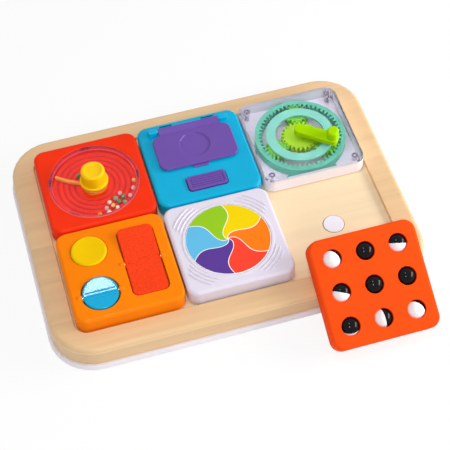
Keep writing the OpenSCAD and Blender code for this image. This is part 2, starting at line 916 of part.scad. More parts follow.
module release_button() {
    rib_step = button_d / rib_count;
    color([0.46, 0.31, 0.7])
        translate(flip_at + [0, button_y, button_flange_z]) {
            slab(button_w + 2 * flange_lip, button_d + 2 * flange_lip, flange_t, small_corner_r);
            difference() {
                soft_slab(button_w, button_d, button_top, small_corner_r, button_round);
                for (i = [1:rib_count - 1])
                    translate([0, -button_d / 2 + i * rib_step, button_top])
                        cube([button_w - 2 * rib_margin, rib_step / 2, 2 * rib_d], center = true);
            }
            translate([0, 0, -button_stem])
                cylinder(d = spring_post_d, h = button_stem + eps);
        }
}

module release_spring() {
    color("silver")
        translate(flip_at + [0, button_y, spring_z])
            coil_spring(spring_r, spring_wire, spring_turns, button_flange_z - spring_z - run_gap);
}

// Gear tile
module gear_shell() {
    color([0.9, 0.88, 0.95, 0.3])
        translate(gear_at)
            difference() {
                shell_blank();
                translate([0, 0, under_top - eps])
                    cylinder(d = shaft_d + 2 * turn_gap, h = tile_top + 2 * eps);
                shell_pilots();
            }
}

module gear_back() {
    color([0.9, 0.88, 0.95, 0.4])
        translate(gear_at) {
            back_blank();
            translate([0, 0, back_t])
                cylinder(d = post_d, h = post_h);
        }
}

module gear_magnet() {
    color("dimgray")
        translate(gear_at)
            back_magnet();
}

module gear_screws() {
    color("silver")
        translate(gear_at)
            back_screws();
}

module ring_gear() {
    color([0.51, 0.84, 0.76])
        translate(gear_at + [0, 0, back_t])
            difference() {
                cylinder(r = ring_r + dedend + ring_wall, h = ring_top - back_t);
                translate([0, 0, -eps])
                    rotate([0, 0, ring_turn()])
                        linear_extrude(ring_top - back_t + 2 * eps)
                            polygon(gear_outline(ring_teeth, ring_r - addend, ring_r + dedend));
            }
}

module sun_gear() {
    color([0.67, 0.9, 0])
        translate(gear_at)
            difference() {
                union() {
                    translate([0, 0, gear_z])
                        linear_extrude(gear_t)
                            polygon(gear_outline(sun_teeth, sun_r + addend, sun_r - dedend));
                    translate([0, 0, back_t + turn_gap])
                        cylinder(d = sun_hub_d, h = gear_lift);
                    translate([0, 0, gear_top - eps])
                        cylinder(d = shaft_d, h = shaft_top - gear_top);
                }
                translate([0, 0, back_t])
                    cylinder(d = post_d + 2 * run_gap, h = post_h + turn_gap);
            }
}

module crank_handle() {
    arm_end = crank_len + grip_t / 2 - crank_w / 2;
    color([0.67, 0.9, 0])
        translate(gear_at + [0, 0, crank_z])
            rotate([0, 0, crank_angle])
                difference() {
                    union() {
                        translate([arm_end / 2, 0, 0])
                            soft_slab(arm_end + crank_w, crank_w, crank_t, crank_w / 2 - eps, crank_round);
                        translate([crank_len, 0, 0])
                            soft_slab(
                                grip_t,
                                crank_w - 2 * grip_inset,
                                crank_t + grip_h,
                                grip_t / 2 - eps,
                                grip_t / 5);
                    }
                    translate([0, 0, -eps])
                        cylinder(d = shaft_d + 2 * run_gap, h = shaft_top - crank_z + seat_gap);
                }
}

module planet_carrier() {
    color([0.51, 0.84, 0.76])
        translate(gear_at) {
            translate([0, 0, carrier_z])
                difference() {
                    cylinder(r = orbit_r + carrier_out, h = carrier_t);
                    translate([0, 0, -eps])
                        cylinder(r = orbit_r - carrier_in, h = carrier_t + 2 * eps);
                }
            for (a = planet_angles)
                rotate([0, 0, a])
                    translate([orbit_r, 0, back_t + pin_foot_gap])
                        cylinder(d = planet_pin_d, h = carrier_z - back_t - pin_foot_gap + eps);
        }
}

module planet_gear(k) {
    a = planet_angles[k];
    color([0.45, 0.8, 0.3])
        translate(gear_at + orbit_r * [cos(a), sin(a), 0])
            rotate([0, 0, planet_turn(a)])
                difference() {
                    union() {
                        translate([0, 0, gear_z])
                            linear_extrude(gear_t)
                                polygon(gear_outline(planet_teeth, planet_r + addend, planet_r - dedend));
                        translate([0, 0, back_t + turn_gap])
                            cylinder(d = planet_hub_d, h = gear_lift);
                    }
                    translate([0, 0, back_t])
                        cylinder(d = planet_pin_d + 2 * run_gap, h = gear_top - back_t + eps);
                }
}

// Switch tile
module pin_bumps(x, y, open_w) {
    for (s = [-1, 1])
        translate([x + s * (open_w / 2 + bump_len / 2), y, pivot_z])
            cross_bar(bump_d, bump_len);
}

module switch_shell() {
    color([1, 0.49, 0])
        translate(switch_at)
            difference() {
                union() {
                    shell_blank();
                    pin_bumps(disc_rocker_x, disc_rocker_y, disc_open_d);
                    pin_bumps(long_x, long_y, long_open_w);
                }
                translate([push_x, push_y, under_top - eps])
                    cylinder(d = push_d + 2 * slide_gap, h = tile_top + 2 * eps);
                translate([disc_rocker_x, disc_rocker_y, pivot_z - bump_d])
                    cylinder(d = disc_open_d, h = 2 * bump_d);
                translate([long_x, long_y, pivot_z - bump_d])
                    slab(long_open_w, long_open_d, 2 * bump_d, long_corner_r + rocker_gap);
                translate([disc_rocker_x, disc_rocker_y, pivot_z])
                    cross_bar(rocker_pin_d + 2 * run_gap, disc_open_d + 2 * bump_bore);
                translate([long_x, long_y, pivot_z])
                    cross_bar(rocker_pin_d + 2 * run_gap, long_open_w + 2 * bump_bore);
                shell_pilots();
            }
}

module switch_back() {
    color([1, 0.49, 0])
        translate(switch_at) {
            back_blank();
            translate([push_x, push_y, back_t])
                cylinder(d = spring_post_d, h = spring_post_h);
        }
}

module switch_magnet() {
    color("dimgray")
        translate(switch_at)
            back_magnet();
}

module switch_screws() {
    color("silver")
        translate(switch_at)
            back_screws();
}

module round_button() {
    color([1, 0.8, 0.05])
        translate(switch_at + [push_x, push_y, push_flange_z]) {
            cylinder(d = push_d + 2 * flange_lip, h = flange_t);
            soft_disc(push_d, tile_h + push_rise - push_flange_z, push_round);
            translate([0, 0, -push_stem])
                cylinder(d = spring_post_d, h = push_stem + eps);
        }
}

module button_spring() {
    color("silver")
        translate(switch_at + [push_x, push_y, spring_z])
            coil_spring(spring_r, spring_wire, spring_turns, push_flange_z - spring_z - run_gap);
}

// Wedge above a rocker's two sloping faces, with its valley along X
module valley_cut(w, half_d, slope) {
    rise = half_d * tan(slope);
    rotate([90, 0, 90])
        linear_extrude(w, center = true)
            polygon([
                [0, valley_z],
                [half_d, valley_z + rise],
                [half_d, valley_z + rise + half_d],
                [-half_d, valley_z + rise + half_d],
                [-half_d, valley_z + rise]]);
}

module round_rocker() {
    half = disc_rocker_d / 2;
    top = valley_z + half * tan(disc_rocker_tilt);
    bar_w = disc_rocker_d - 2 * bar_inset;
    color([0, 0.55, 0.85])
        translate(switch_at + [disc_rocker_x, disc_rocker_y, pivot_z])
            rotate([disc_rocker_tilt, 0, 0])
                difference() {
                    union() {
                        difference() {
                            translate([0, 0, -rocker_under])
                                cylinder(d = disc_rocker_d, h = rocker_under + top);
                            valley_cut(disc_rocker_d + 2 * cut_over, half + cut_over, disc_rocker_tilt);
                        }
                        for (i = [-1:1])
                            translate([0, i * grip_ridge_step, valley_z])
                                cross_bar(2 * grip_ridge_r, bar_w);
                    }
                    cross_bar(rocker_pin_d + 2 * run_gap, disc_rocker_d + 2 * cut_over);
                }
}

module long_rocker() {
    half = long_d / 2;
    top = valley_z + half * tan(long_tilt);
    color([0.96, 0.25, 0.1])
        translate(switch_at + [long_x, long_y, pivot_z])
            rotate([long_tilt, 0, 0])
                difference() {
                    translate([0, 0, -rocker_under])
                        slab(long_w, long_d, rocker_under + top, long_corner_r);
                    valley_cut(long_w + 2 * cut_over, half + cut_over, long_tilt);
                    cross_bar(rocker_pin_d + 2 * run_gap, long_w + 2 * cut_over);
                }
}

module rocker_pins() {
    pin_end = 2 * (bump_bore - turn_gap);
    color("silver")
        translate(switch_at + [0, 0, pivot_z]) {
            translate([disc_rocker_x, disc_rocker_y, 0])
                cross_bar(rocker_pin_d, disc_open_d + pin_end);
            translate([long_x, long_y, 0])
                cross_bar(rocker_pin_d, long_open_w + pin_end);
        }
}

// Wheel tile
module corner_ridges() {
    intersection() {
        for (i = [0:ridge_count - 1], a = [45, 135, 225, 315])
            rotate([0, 0, a - ridge_span / 2])
                rotate_extrude(angle = ridge_span)
                    translate([ridge_r + i * ridge_step - ridge_w / 2, tile_h - ridge_h])
                        square([ridge_w, 2 * ridge_h]);
        slab(flat_w, flat_w, tile_h + ridge_h, tile_corner_r - tile_round);
    }
}

module wheel_shell() {
    color([0.89, 0.86, 0.93])
        translate(wheel_at)
            difference() {
                union() {
                    shell_blank();
                    translate([0, 0, wheel_under])
                        cylinder(d = wheel_hole_d + 2 * wheel_rim, h = tile_h + rim_h - wheel_under);
                    corner_ridges();
                }
                translate([0, 0, wheel_floor])
                    cylinder(d = wheel_hole_d, h = tile_h + rim_h - wheel_floor + eps);
                translate([0, 0, wheel_under - eps])
                    cylinder(d = axle_d + 2 * run_gap, h = tile_top + 2 * eps);
                shell_pilots();
            }
}

module wheel_back() {
    color([0.89, 0.86, 0.93])
        translate(wheel_at)
            back_blank();
}

module wheel_magnet() {
    color("dimgray")
        translate(wheel_at)
            back_magnet();
}

module wheel_screws() {
    color("silver")
        translate(wheel_at)
            back_screws();
}

module colour_wheel() {
    color([0.97, 0.85, 0.04])
        translate(wheel_at + [0, 0, wheel_z])
            soft_disc(wheel_d, wheel_t, wheel_round);
}

module wheel_axle() {
    flange_z = wheel_under - turn_gap - axle_flange_t;
    color("white")
        translate(wheel_at) {
            translate([0, 0, flange_z - axle_tail])
                cylinder(d = axle_d, h = wheel_z - flange_z + axle_tail);
            translate([0, 0, flange_z])
                cylinder(d = axle_flange_d, h = axle_flange_t);
        }
}

// Ball tile
module ball_shell() {
    color([1, 0.33, 0.12])
        at_lean()
            difference() {
                shell_blank();
                for (p = ball_spots)
                    translate([p.x, p.y, under_top - eps])
                        cylinder(d = ball_hole_d, h = tile_top + 2 * eps);
                shell_pilots();
            }
}

module ball_back() {
    dish_r = ball_r + ball_gap;
    cup_in = cup_r - cup_lip;
    cup_top = ball_z - sqrt(dish_r * dish_r - cup_in * cup_in);
    color([1, 0.33, 0.12])
        at_lean()
            difference() {
                union() {
                    back_blank();
                    for (p = ball_spots)
                        translate([p.x, p.y, back_t])
                            cylinder(r = cup_r, h = cup_top - back_t);
                }
                for (p = ball_spots)
                    translate([p.x, p.y, ball_z])
                        sphere(r = dish_r);
            }
}

module ball_magnet() {
    color("dimgray")
        at_lean()
            back_magnet();
}

module ball_screws() {
    color("silver")
        at_lean()
            back_screws();
}

module ball(k) {
    color("black")
        at_lean()
            translate([ball_spots[k].x, ball_spots[k].y, ball_z])
                sphere(r = ball_r);
}

wood_tray();
base_panel();
magnet_discs();
base_screws();
bead_shell();
bead_back();
bead_magnet();
bead_screws();
bead_window();
bead_sweeper();
bead_knob();
beads();
flip_shell();
flip_back();
flip_magnet();
flip_screws();
flip_lid();
lid_hinge_pin();
peek_mirror();
release_button();
release_spring();
gear_shell();
gear_back();
gear_magnet();
gear_screws();
ring_gear();
sun_gear();
crank_handle();
planet_carrier();
planet_gear(0);  // planet_gear_1
planet_gear(1);  // planet_gear_2
planet_gear(2);  // planet_gear_3
switch_shell();
switch_back();
switch_magnet();
switch_screws();
round_button();
button_spring();
round_rocker();
long_rocker();
rocker_pins();
wheel_shell();
wheel_back();
wheel_magnet();
wheel_screws();
colour_wheel();
wheel_axle();
ball_shell();
ball_back();
ball_magnet();
ball_screws();
ball(0);  // ball_1
ball(1);  // ball_2
ball(2);  // ball_3
ball(3);  // ball_4
ball(4);  // ball_5
ball(5);  // ball_6
ball(6);  // ball_7
ball(7);  // ball_8
ball(8);  // ball_9
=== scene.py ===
import json
from math import cos, pi, radians, sin, tan

import bmesh
import bpy
from mathutils import Matrix, Vector


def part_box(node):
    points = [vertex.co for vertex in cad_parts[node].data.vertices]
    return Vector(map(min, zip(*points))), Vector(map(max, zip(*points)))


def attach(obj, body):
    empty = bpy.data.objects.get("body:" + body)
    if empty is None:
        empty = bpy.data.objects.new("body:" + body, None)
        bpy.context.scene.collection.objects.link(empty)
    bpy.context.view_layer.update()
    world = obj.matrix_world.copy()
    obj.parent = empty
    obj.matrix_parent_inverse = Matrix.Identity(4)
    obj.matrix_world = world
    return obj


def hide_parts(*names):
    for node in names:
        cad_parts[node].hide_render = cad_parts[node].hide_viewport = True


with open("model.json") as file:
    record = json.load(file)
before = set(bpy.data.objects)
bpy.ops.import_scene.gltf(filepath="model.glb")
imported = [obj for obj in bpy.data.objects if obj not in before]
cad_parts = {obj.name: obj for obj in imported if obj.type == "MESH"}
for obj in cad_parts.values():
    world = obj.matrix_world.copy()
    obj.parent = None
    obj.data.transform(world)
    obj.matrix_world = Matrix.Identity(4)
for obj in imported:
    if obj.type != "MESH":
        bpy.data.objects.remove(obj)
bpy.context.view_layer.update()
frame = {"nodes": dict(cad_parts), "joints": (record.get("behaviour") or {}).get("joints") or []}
scene = bpy.context.scene
scene.view_settings.view_transform = "Standard"
jointAt = {joint["name"]: joint for joint in frame["joints"]}
print("frame loaded:", len(frame["nodes"]), "nodes")


# finishes: small helpers that wire the nodes

def tint(red, green, blue):
    # a screen colour, 0 to 255, as the linear colour a shader takes
    parts = [c / 12.92 if c < 0.04045 else ((c + 0.055) / 1.055) ** 2.4
             for c in (red / 255, green / 255, blue / 255)]
    return (*parts, 1.0)


def lighten(colour, amount):
    # above 1 is lighter, below 1 is darker
    return (*[min(1.0, part * amount) for part in colour[:3]], 1.0)


def startFinish(name, **sockets):
    finish = bpy.data.materials.new(name)
    finish.use_nodes = True
    tree = finish.node_tree
    surface = tree.nodes["Principled BSDF"]
    for socket, value in sockets.items():
        surface.inputs[socket.replace("_", " ")].default_value = value
    spot = tree.nodes.new("ShaderNodeTexCoord").outputs["Object"]
    return finish, tree, surface, spot


def stretch(tree, spot, scale):
    mapping = tree.nodes.new("ShaderNodeMapping")
    mapping.inputs["Scale"].default_value = scale
    tree.links.new(spot, mapping.inputs["Vector"])
    return mapping.outputs["Vector"]


def addNoise(tree, spot, scale, detail=3.0, rough=0.55):
    noise = tree.nodes.new("ShaderNodeTexNoise")
    noise.inputs["Scale"].default_value = scale
    noise.inputs["Detail"].default_value = detail
    noise.inputs["Roughness"].default_value = rough
    tree.links.new(spot, noise.inputs["Vector"])
    return noise.outputs["Fac"]


def addRamp(tree, factor, stops):
    ramp = tree.nodes.new("ShaderNodeValToRGB")
    marks = ramp.color_ramp.elements
    while len(marks) < len(stops):
        marks.new(0.5)
    for mark, (position, colour) in zip(marks, stops):
        mark.position = position
        mark.color = colour
    tree.links.new(factor, ramp.inputs["Fac"])
    return ramp.outputs["Color"]


def addRange(tree, factor, low, high):
    span = tree.nodes.new("ShaderNodeMapRange")
    span.inputs["From Min"].default_value = 0.3
    span.inputs["From Max"].default_value = 0.7
    span.inputs["To Min"].default_value = low
    span.inputs["To Max"].default_value = high
    tree.links.new(factor, span.inputs["Value"])
    return span.outputs["Result"]


def addMath(tree, operation, first, second=None):
    # second is a socket or a plain number
    step = tree.nodes.new("ShaderNodeMath")
    step.operation = operation
    tree.links.new(first, step.inputs[0])
    if isinstance(second, float):
        step.inputs[1].default_value = second
    elif second is not None:
        tree.links.new(second, step.inputs[1])
    return step.outputs["Value"]


def wireSurface(tree, surface, colour, rough):
    tree.links.new(colour, surface.inputs["Base Color"])
    tree.links.new(rough, surface.inputs["Roughness"])


def addBump(tree, surface, height, strength, depth):
    bump = tree.nodes.new("ShaderNodeBump")
    bump.inputs["Strength"].default_value = strength
    bump.inputs["Distance"].default_value = depth
    tree.links.new(height, bump.inputs["Height"])
    tree.links.new(bump.outputs["Normal"], surface.inputs["Normal"])


def mouldedPlastic(name, colour, rough=0.3, gloss=1.16, mottle=0.04, grain=0.05):
    # gloss is the index of refraction: nearer 1 is more matt
    finish, tree, surface, spot = startFinish(name, IOR=gloss)
    cloud = addNoise(tree, spot, 38)
    tones = [(0.3, lighten(colour, 1 - mottle)), (0.7, lighten(colour, 1 + mottle))]
    fine = addNoise(tree, spot, 1500, 2)
    sheen = addRange(tree, fine, rough - 0.05, rough + 0.05)
    wireSurface(tree, surface, addRamp(tree, cloud, tones), sheen)
    addBump(tree, surface, fine, grain, 0.0002)
    return finish


def clearPlastic(name, colour, rough=0.03, clear=1.0):
    finish, tree, surface, spot = startFinish(
        name, IOR=1.2, Transmission_Weight=clear, Base_Color=colour)
    flow = addNoise(tree, spot, 26, 2)
    tree.links.new(addRange(tree, flow, rough, rough + 0.03), surface.inputs["Roughness"])
    addBump(tree, surface, flow, 0.05, 0.0005)
    return finish


def metalFinish(name, colour, rough=0.3):
    finish, tree, surface, spot = startFinish(name, Metallic=1.0)
    brushed = addNoise(tree, stretch(tree, spot, (400, 4000, 4000)), 1, 4)
    tones = [(0.3, lighten(colour, 0.88)), (0.7, lighten(colour, 1.08))]
    sheen = addRange(tree, brushed, rough - 0.06, rough + 0.08)
    wireSurface(tree, surface, addRamp(tree, brushed, tones), sheen)
    return finish


# shapes: outlines are functions of how far they grow, in millimetres

def ringPath(radius, count, centre):
    return [(centre[0] + radius * cos(2 * pi * i / count), centre[1] + radius * sin(2 * pi * i / count))
            for i in range(count)]


def arc(centre, radius, start, span, steps):
    turns = [start + span * i / steps for i in range(steps + 1)]
    return [(centre[0] + radius * cos(turn), centre[1] + radius * sin(turn)) for turn in turns]


def disc(radius, centre=(0, 0), count=72):
    return lambda grow: ringPath(radius + grow, count, centre)


def platePath(width, depth, radius, centre, steps=8):
    path = []
    for quarter in range(4):
        sideX = 1 if quarter in (0, 3) else -1
        sideY = 1 if quarter < 2 else -1
        for step in range(steps + 1):
            turn = pi / 2 * (quarter + step / steps)
            path.append((centre[0] + sideX * (width / 2 - radius) + radius * cos(turn),
                         centre[1] + sideY * (depth / 2 - radius) + radius * sin(turn)))
    return path


def plate(width, depth, radius, centre=(0, 0)):
    return lambda grow: platePath(width + 2 * grow, depth + 2 * grow, max(radius + grow, 0.1), centre)


def roundTop(size, top, steps=6):
    # profile of an outer edge rolled over at the top
    turns = [pi / 2 * i / steps for i in range(steps + 1)]
    return [(-size * (1 - cos(turn)), top - size * (1 - sin(turn))) for turn in turns]


def roundMouth(size, top, steps=4):
    # profile of a hole's edge, from the top face down into the hole
    turns = [pi / 2 * i / steps for i in range(steps + 1)]
    return [(size * (1 - sin(turn)), top - size * (1 - cos(turn))) for turn in turns]


def addRing(mesh, path, height):
    return [mesh.verts.new((x, y, height)) for x, y in path]


def bridge(mesh, first, second):
    faces = []
    for i in range(len(first)):
        j = (i + 1) % len(first)
        faces.append(mesh.faces.new((first[i], first[j], second[j], second[i])))
    return faces


def loft(mesh, outline, profile):
    rings = [addRing(mesh, outline(grow), height) for grow, height in profile]
    for first, second in zip(rings, rings[1:]):
        bridge(mesh, first, second)
    return rings[0], rings[-1]


def fillFlat(mesh, rings):
    if len(rings) == 1:
        mesh.faces.new(rings[0])
        return
    edges = []
    for ring in rings:
        for i, vert in enumerate(ring):
            edges.append(mesh.edges.get((vert, ring[(i + 1) % len(ring)])))
    bmesh.ops.triangle_fill(mesh, use_beauty=True, use_dissolve=False, edges=edges)


def revolve(mesh, profile, count=72, centre=(0, 0), closed=False):
    # profile is (radius, height); a radius of 0 is a pole
    rings = []
    for radius, height in profile:
        if radius == 0:
            rings.append([mesh.verts.new((centre[0], centre[1], height))])
        else:
            rings.append(addRing(mesh, ringPath(radius, count, centre), height))
    pairs = list(zip(rings, rings[1:]))
    if closed:
        pairs.append((rings[-1], rings[0]))
    faces = []
    for first, second in pairs:
        if len(first) == 1 or len(second) == 1:
            pole, ring = (first[0], second) if len(first) == 1 else (second[0], first)
            faces += [mesh.faces.new((pole, ring[i], ring[(i + 1) % len(ring)])) for i in range(len(ring))]
        else:
            faces += bridge(mesh, first, second)
    return faces


def solidPlate(mesh, outline, bottom, top, edge, mouths=(), foot=((-0.3, 0), (0, 0.3))):
    # closed slab with a rolled top edge; mouths are (outline, profile) of blind hollows in its top
    first, last = loft(mesh, outline, [(grow, bottom + rise) for grow, rise in foot] + roundTop(edge, top))
    fillFlat(mesh, [first])
    rims = [last]
    for hollow, profile in mouths:
        rim, floor = loft(mesh, hollow, profile)
        rims.append(rim)
        fillFlat(mesh, [floor])
    fillFlat(mesh, rims)


def joinRings(mesh, rings):
    # skin over rings that are already in place, closed at both ends
    for first, second in zip(rings, rings[1:]):
        bridge(mesh, first, second)
    fillFlat(mesh, [rings[0]])
    fillFlat(mesh, [rings[-1]])


def barAlongX(mesh, section, stations):
    # section is (y, z) points; stations are (x, size), size 1 being the full section
    midY = sum(point[0] for point in section) / len(section)
    midZ = sum(point[1] for point in section) / len(section)
    rings = [[mesh.verts.new((x, midY + (y - midY) * size, midZ + (z - midZ) * size)) for y, z in section]
             for x, size in stations]
    joinRings(mesh, rings)


def roundEnds(start, end, soft):
    # stations of a bar with softly rounded ends
    inner = [(0.0, 0.72), (0.25, 0.9), (0.6, 0.98), (1.0, 1.0)]
    return ([(start + soft * step, size) for step, size in inner]
            + [(end - soft * step, size) for step, size in reversed(inner)])


def makePiece(name, mesh, place, finishes, body, stands=(), crease=34):
    bmesh.ops.recalc_face_normals(mesh, faces=mesh.faces)
    mesh.transform(place)
    data = bpy.data.meshes.new(name)
    mesh.to_mesh(data)
    mesh.free()
    for finish in finishes:
        data.materials.append(finish)
    data.polygons.foreach_set("use_smooth", [True] * len(data.polygons))
    data.set_sharp_from_angle(angle=radians(crease))
    piece = bpy.data.objects.new(name, data)
    scene.collection.objects.link(piece)
    even = piece.modifiers.new("evenShading", "WEIGHTED_NORMAL")
    even.keep_sharp = True
    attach(piece, body)
    if stands:
        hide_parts(*stands)
    return piece


def dressNode(name, finish):
    slots = frame["nodes"][name].data.materials
    slots.clear()
    slots.append(finish)


# tray: pale wood on a white panel, with a magnet disc in each bay
trayLook = {
    "wood": tint(231, 194, 148),
    # painted light: the recess floors take a paler copy of the wood with fainter grain, standing in for
    # the light that washes the tray's right side
    "floorWoodPaintedLight": tint(239, 216, 178),
    "rimGrain": 0.1,         # how far the grain darkens the wood
    "floorGrain": 0.045,
    "stave": 0.041,          # width of a glued stave, m
    "panel": tint(238, 233, 240),
    "disc": tint(231, 229, 239),
    "woodSize": (336, 238.5, 38),
    "woodHeights": (6, 25.5),
    "woodEdge": 4.5,
    "recess": (294, 196.5, 11.5),
    "recessFloor": 22.0,
    "panelSize": (341, 243.5, 40.5),
    "panelTop": 6.0,
    "panelEdge": 1.4,
    "discRadius": 9.2,
    "discGap": 0.4,
    "discHeights": (18.5, 22.5),
    "bays": [(x, y) for y in (48.75, -48.75) for x in (-97.5, 0, 97.5)],
    "screws": [(sx * 157.5, sy * 48.75) for sx in (-1, 1) for sy in (-1, 1)]
              + [(sx * 97.5, sy * 108.75) for sx in (-1, 1) for sy in (-1, 1)],
    "headRadius": 3.7,
    "headDepth": 2.6,
}
millimetres = Matrix.Scale(0.001, 4)


def paleWood(name, wood, depth):
    finish, tree, surface, spot = startFinish(name, IOR=1.5)
    parts = tree.nodes.new("ShaderNodeSeparateXYZ")
    tree.links.new(spot, parts.inputs["Vector"])
    count = addMath(tree, "DIVIDE", parts.outputs["Y"], trayLook["stave"])
    stave = tree.nodes.new("ShaderNodeTexWhiteNoise")
    stave.noise_dimensions = "1D"
    tree.links.new(addMath(tree, "FLOOR", count), stave.inputs["W"])
    shift = tree.nodes.new("ShaderNodeVectorMath")
    shift.operation = "ADD"
    tree.links.new(spot, shift.inputs[0])
    tree.links.new(stave.outputs["Color"], shift.inputs[1])
    grain = addNoise(tree, stretch(tree, shift.outputs["Vector"], (5, 95, 95)), 1, 5, 0.6)
    fibre = addNoise(tree, stretch(tree, shift.outputs["Vector"], (30, 900, 900)), 1, 3)
    tones = [(0.28, lighten(wood, 1 - depth)), (0.5, wood), (0.72, lighten(wood, 1 + 0.7 * depth))]
    grained = addRamp(tree, grain, tones)
    darkStave = (1 - 0.7 * depth, 1 - 0.9 * depth, 1 - 1.2 * depth, 1)
    staveTone = addRamp(tree, stave.outputs["Value"], [(0.0, darkStave), (1.0, (1, 1, 1, 1))])
    blend = tree.nodes.new("ShaderNodeMix")
    blend.data_type = "RGBA"
    blend.blend_type = "MULTIPLY"
    blend.inputs["Factor"].default_value = 1.0
    tree.links.new(grained, blend.inputs["A"])
    tree.links.new(staveTone, blend.inputs["B"])
    wireSurface(tree, surface, blend.outputs["Result"], addRange(tree, fibre, 0.36, 0.5))
    addBump(tree, surface, fibre, 0.12, 0.0003)
    return finish


def makeWoodenTray():
    look = trayLook
    bottom, top = look["woodHeights"]
    mesh = bmesh.new()
    ground = look["recessFloor"]
    foot = [(-0.5, bottom), (0, bottom + 0.5)]
    first, last = loft(mesh, plate(*look["woodSize"]), foot + roundTop(look["woodEdge"], top, 10))
    fillFlat(mesh, [first])
    walls = roundMouth(0.7, top) + [(0, ground + 0.5), (-0.15, ground + 0.12), (-0.5, ground)]
    rim, floor = loft(mesh, plate(*look["recess"]), walls)
    fillFlat(mesh, [last, rim])
    pockets = [floor]
    seat = [(0.3, ground), (0, ground - 0.3), (0, look["discHeights"][0])]
    for bay in look["bays"]:
        mouth, base = loft(mesh, disc(look["discRadius"] + look["discGap"], bay, 48), seat)
        pockets.append(mouth)
        fillFlat(mesh, [base])
    fillFlat(mesh, pockets)
    # the recess-floor faces take the paler wood, painted light
    for face in mesh.faces:
        if abs(face.calc_center_median().z - ground) < 0.06:
            face.material_index = 1
    woods = [paleWood("rimWood", look["wood"], look["rimGrain"]),
             paleWood("floorWoodPaintedLight", look["floorWoodPaintedLight"], look["floorGrain"])]
    makePiece("woodenTray", mesh, millimetres, woods, "tray", ["wood_tray"])


def makeBasePanel():
    look = trayLook
    mesh = bmesh.new()
    foot = [(-0.8, 0), (-0.25, 0.25), (0, 0.8)]
    sides = foot + roundTop(look["panelEdge"], look["panelTop"])
    first, last = loft(mesh, plate(*look["panelSize"]), sides)
    fillFlat(mesh, [last])
    under = [first]
    sink = [(0.25, 0), (0, 0.25), (0, look["headDepth"])]
    for spot in look["screws"]:
        mouth, base = loft(mesh, disc(look["headRadius"], spot, 32), sink)
        under.append(mouth)
        fillFlat(mesh, [base])
    fillFlat(mesh, under)
    white = mouldedPlastic("panelWhite", look["panel"], 0.4, 1.3, 0.015)
    makePiece("basePanel", mesh, millimetres, [white], "tray", ["base_panel"])


def makeMagnetDiscs():
    look = trayLook
    mesh = bmesh.new()
    low, high = look["discHeights"]
    edge = [(look["discRadius"] + grow, height) for grow, height in roundTop(0.5, high, 4)]
    for bay in look["bays"]:
        revolve(mesh, [(0, low), (look["discRadius"], low)] + edge + [(0, high)], 56, bay)
    pearl = mouldedPlastic("discPearl", look["disc"], 0.3, 1.25, 0.012)
    makePiece("magnetDiscs", mesh, millimetres, [pearl], "tray", ["magnet_discs"])


def makeTray():
    makeWoodenTray()
    makeBasePanel()
    makeMagnetDiscs()
    dressNode("base_screws", screwZinc)
    print("tray made")


# every tile: a shell open below, with four screw bosses under its corners
tileForm = {
    "width": 96,
    "corner": 10,
    "height": 16,
    "edge": 3.0,
    "wall": 2.5,
    "ceiling": 13.5,
    "boss": 3.0,
    "bossBore": 1.25,
    "bossAt": 39.5,
    "cover": 3.0,
}


def tilePlace(tile):
    low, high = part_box(tile + "_shell")
    return Matrix.Translation(((low.x + high.x) / 2, (low.y + high.y) / 2, low.z)) @ millimetres


def tileShell(mesh, openings=(), pockets=()):
    # openings go right through: (outline, profile); pockets: (outline, profile, skin below or None)
    form = tileForm
    outline = plate(form["width"], form["width"], form["corner"])
    rolled = roundTop(form["edge"], form["height"], 8)
    low, high = loft(mesh, outline, [(-0.6, 0), (-0.18, 0.18), (0, 0.6)] + rolled)
    sill, roof = loft(mesh, outline, [(-form["wall"], 0), (-form["wall"], form["ceiling"])])
    fillFlat(mesh, [low, sill])
    above, below = [high], [roof]
    for hole, profile in openings:
        rim, foot = loft(mesh, hole, profile + [(0, form["ceiling"])])
        above.append(rim)
        below.append(foot)
    for hollow, profile, skin in pockets:
        rim, floor = loft(mesh, hollow, profile)
        above.append(rim)
        fillFlat(mesh, [floor])
        if skin:
            collar, base = loft(mesh, hollow, [(skin[0], form["ceiling"]), skin])
            below.append(collar)
            fillFlat(mesh, [base])
    fillFlat(mesh, above)
    fillFlat(mesh, below)
    bore, boss, root = form["bossBore"], form["boss"], form["ceiling"] + 0.2
    tube = [(bore, form["cover"]), (boss, form["cover"]), (boss, root), (bore, root)]
    for sideX in (-1, 1):
        for sideY in (-1, 1):
            revolve(mesh, tube, 24, (sideX * form["bossAt"], sideY * form["bossAt"]), closed=True)


def dressBack(tile, finish):
    dressNode(tile + "_back", finish)
    dressNode(tile + "_magnet", magnetGrey)
    dressNode(tile + "_screws", screwZinc)


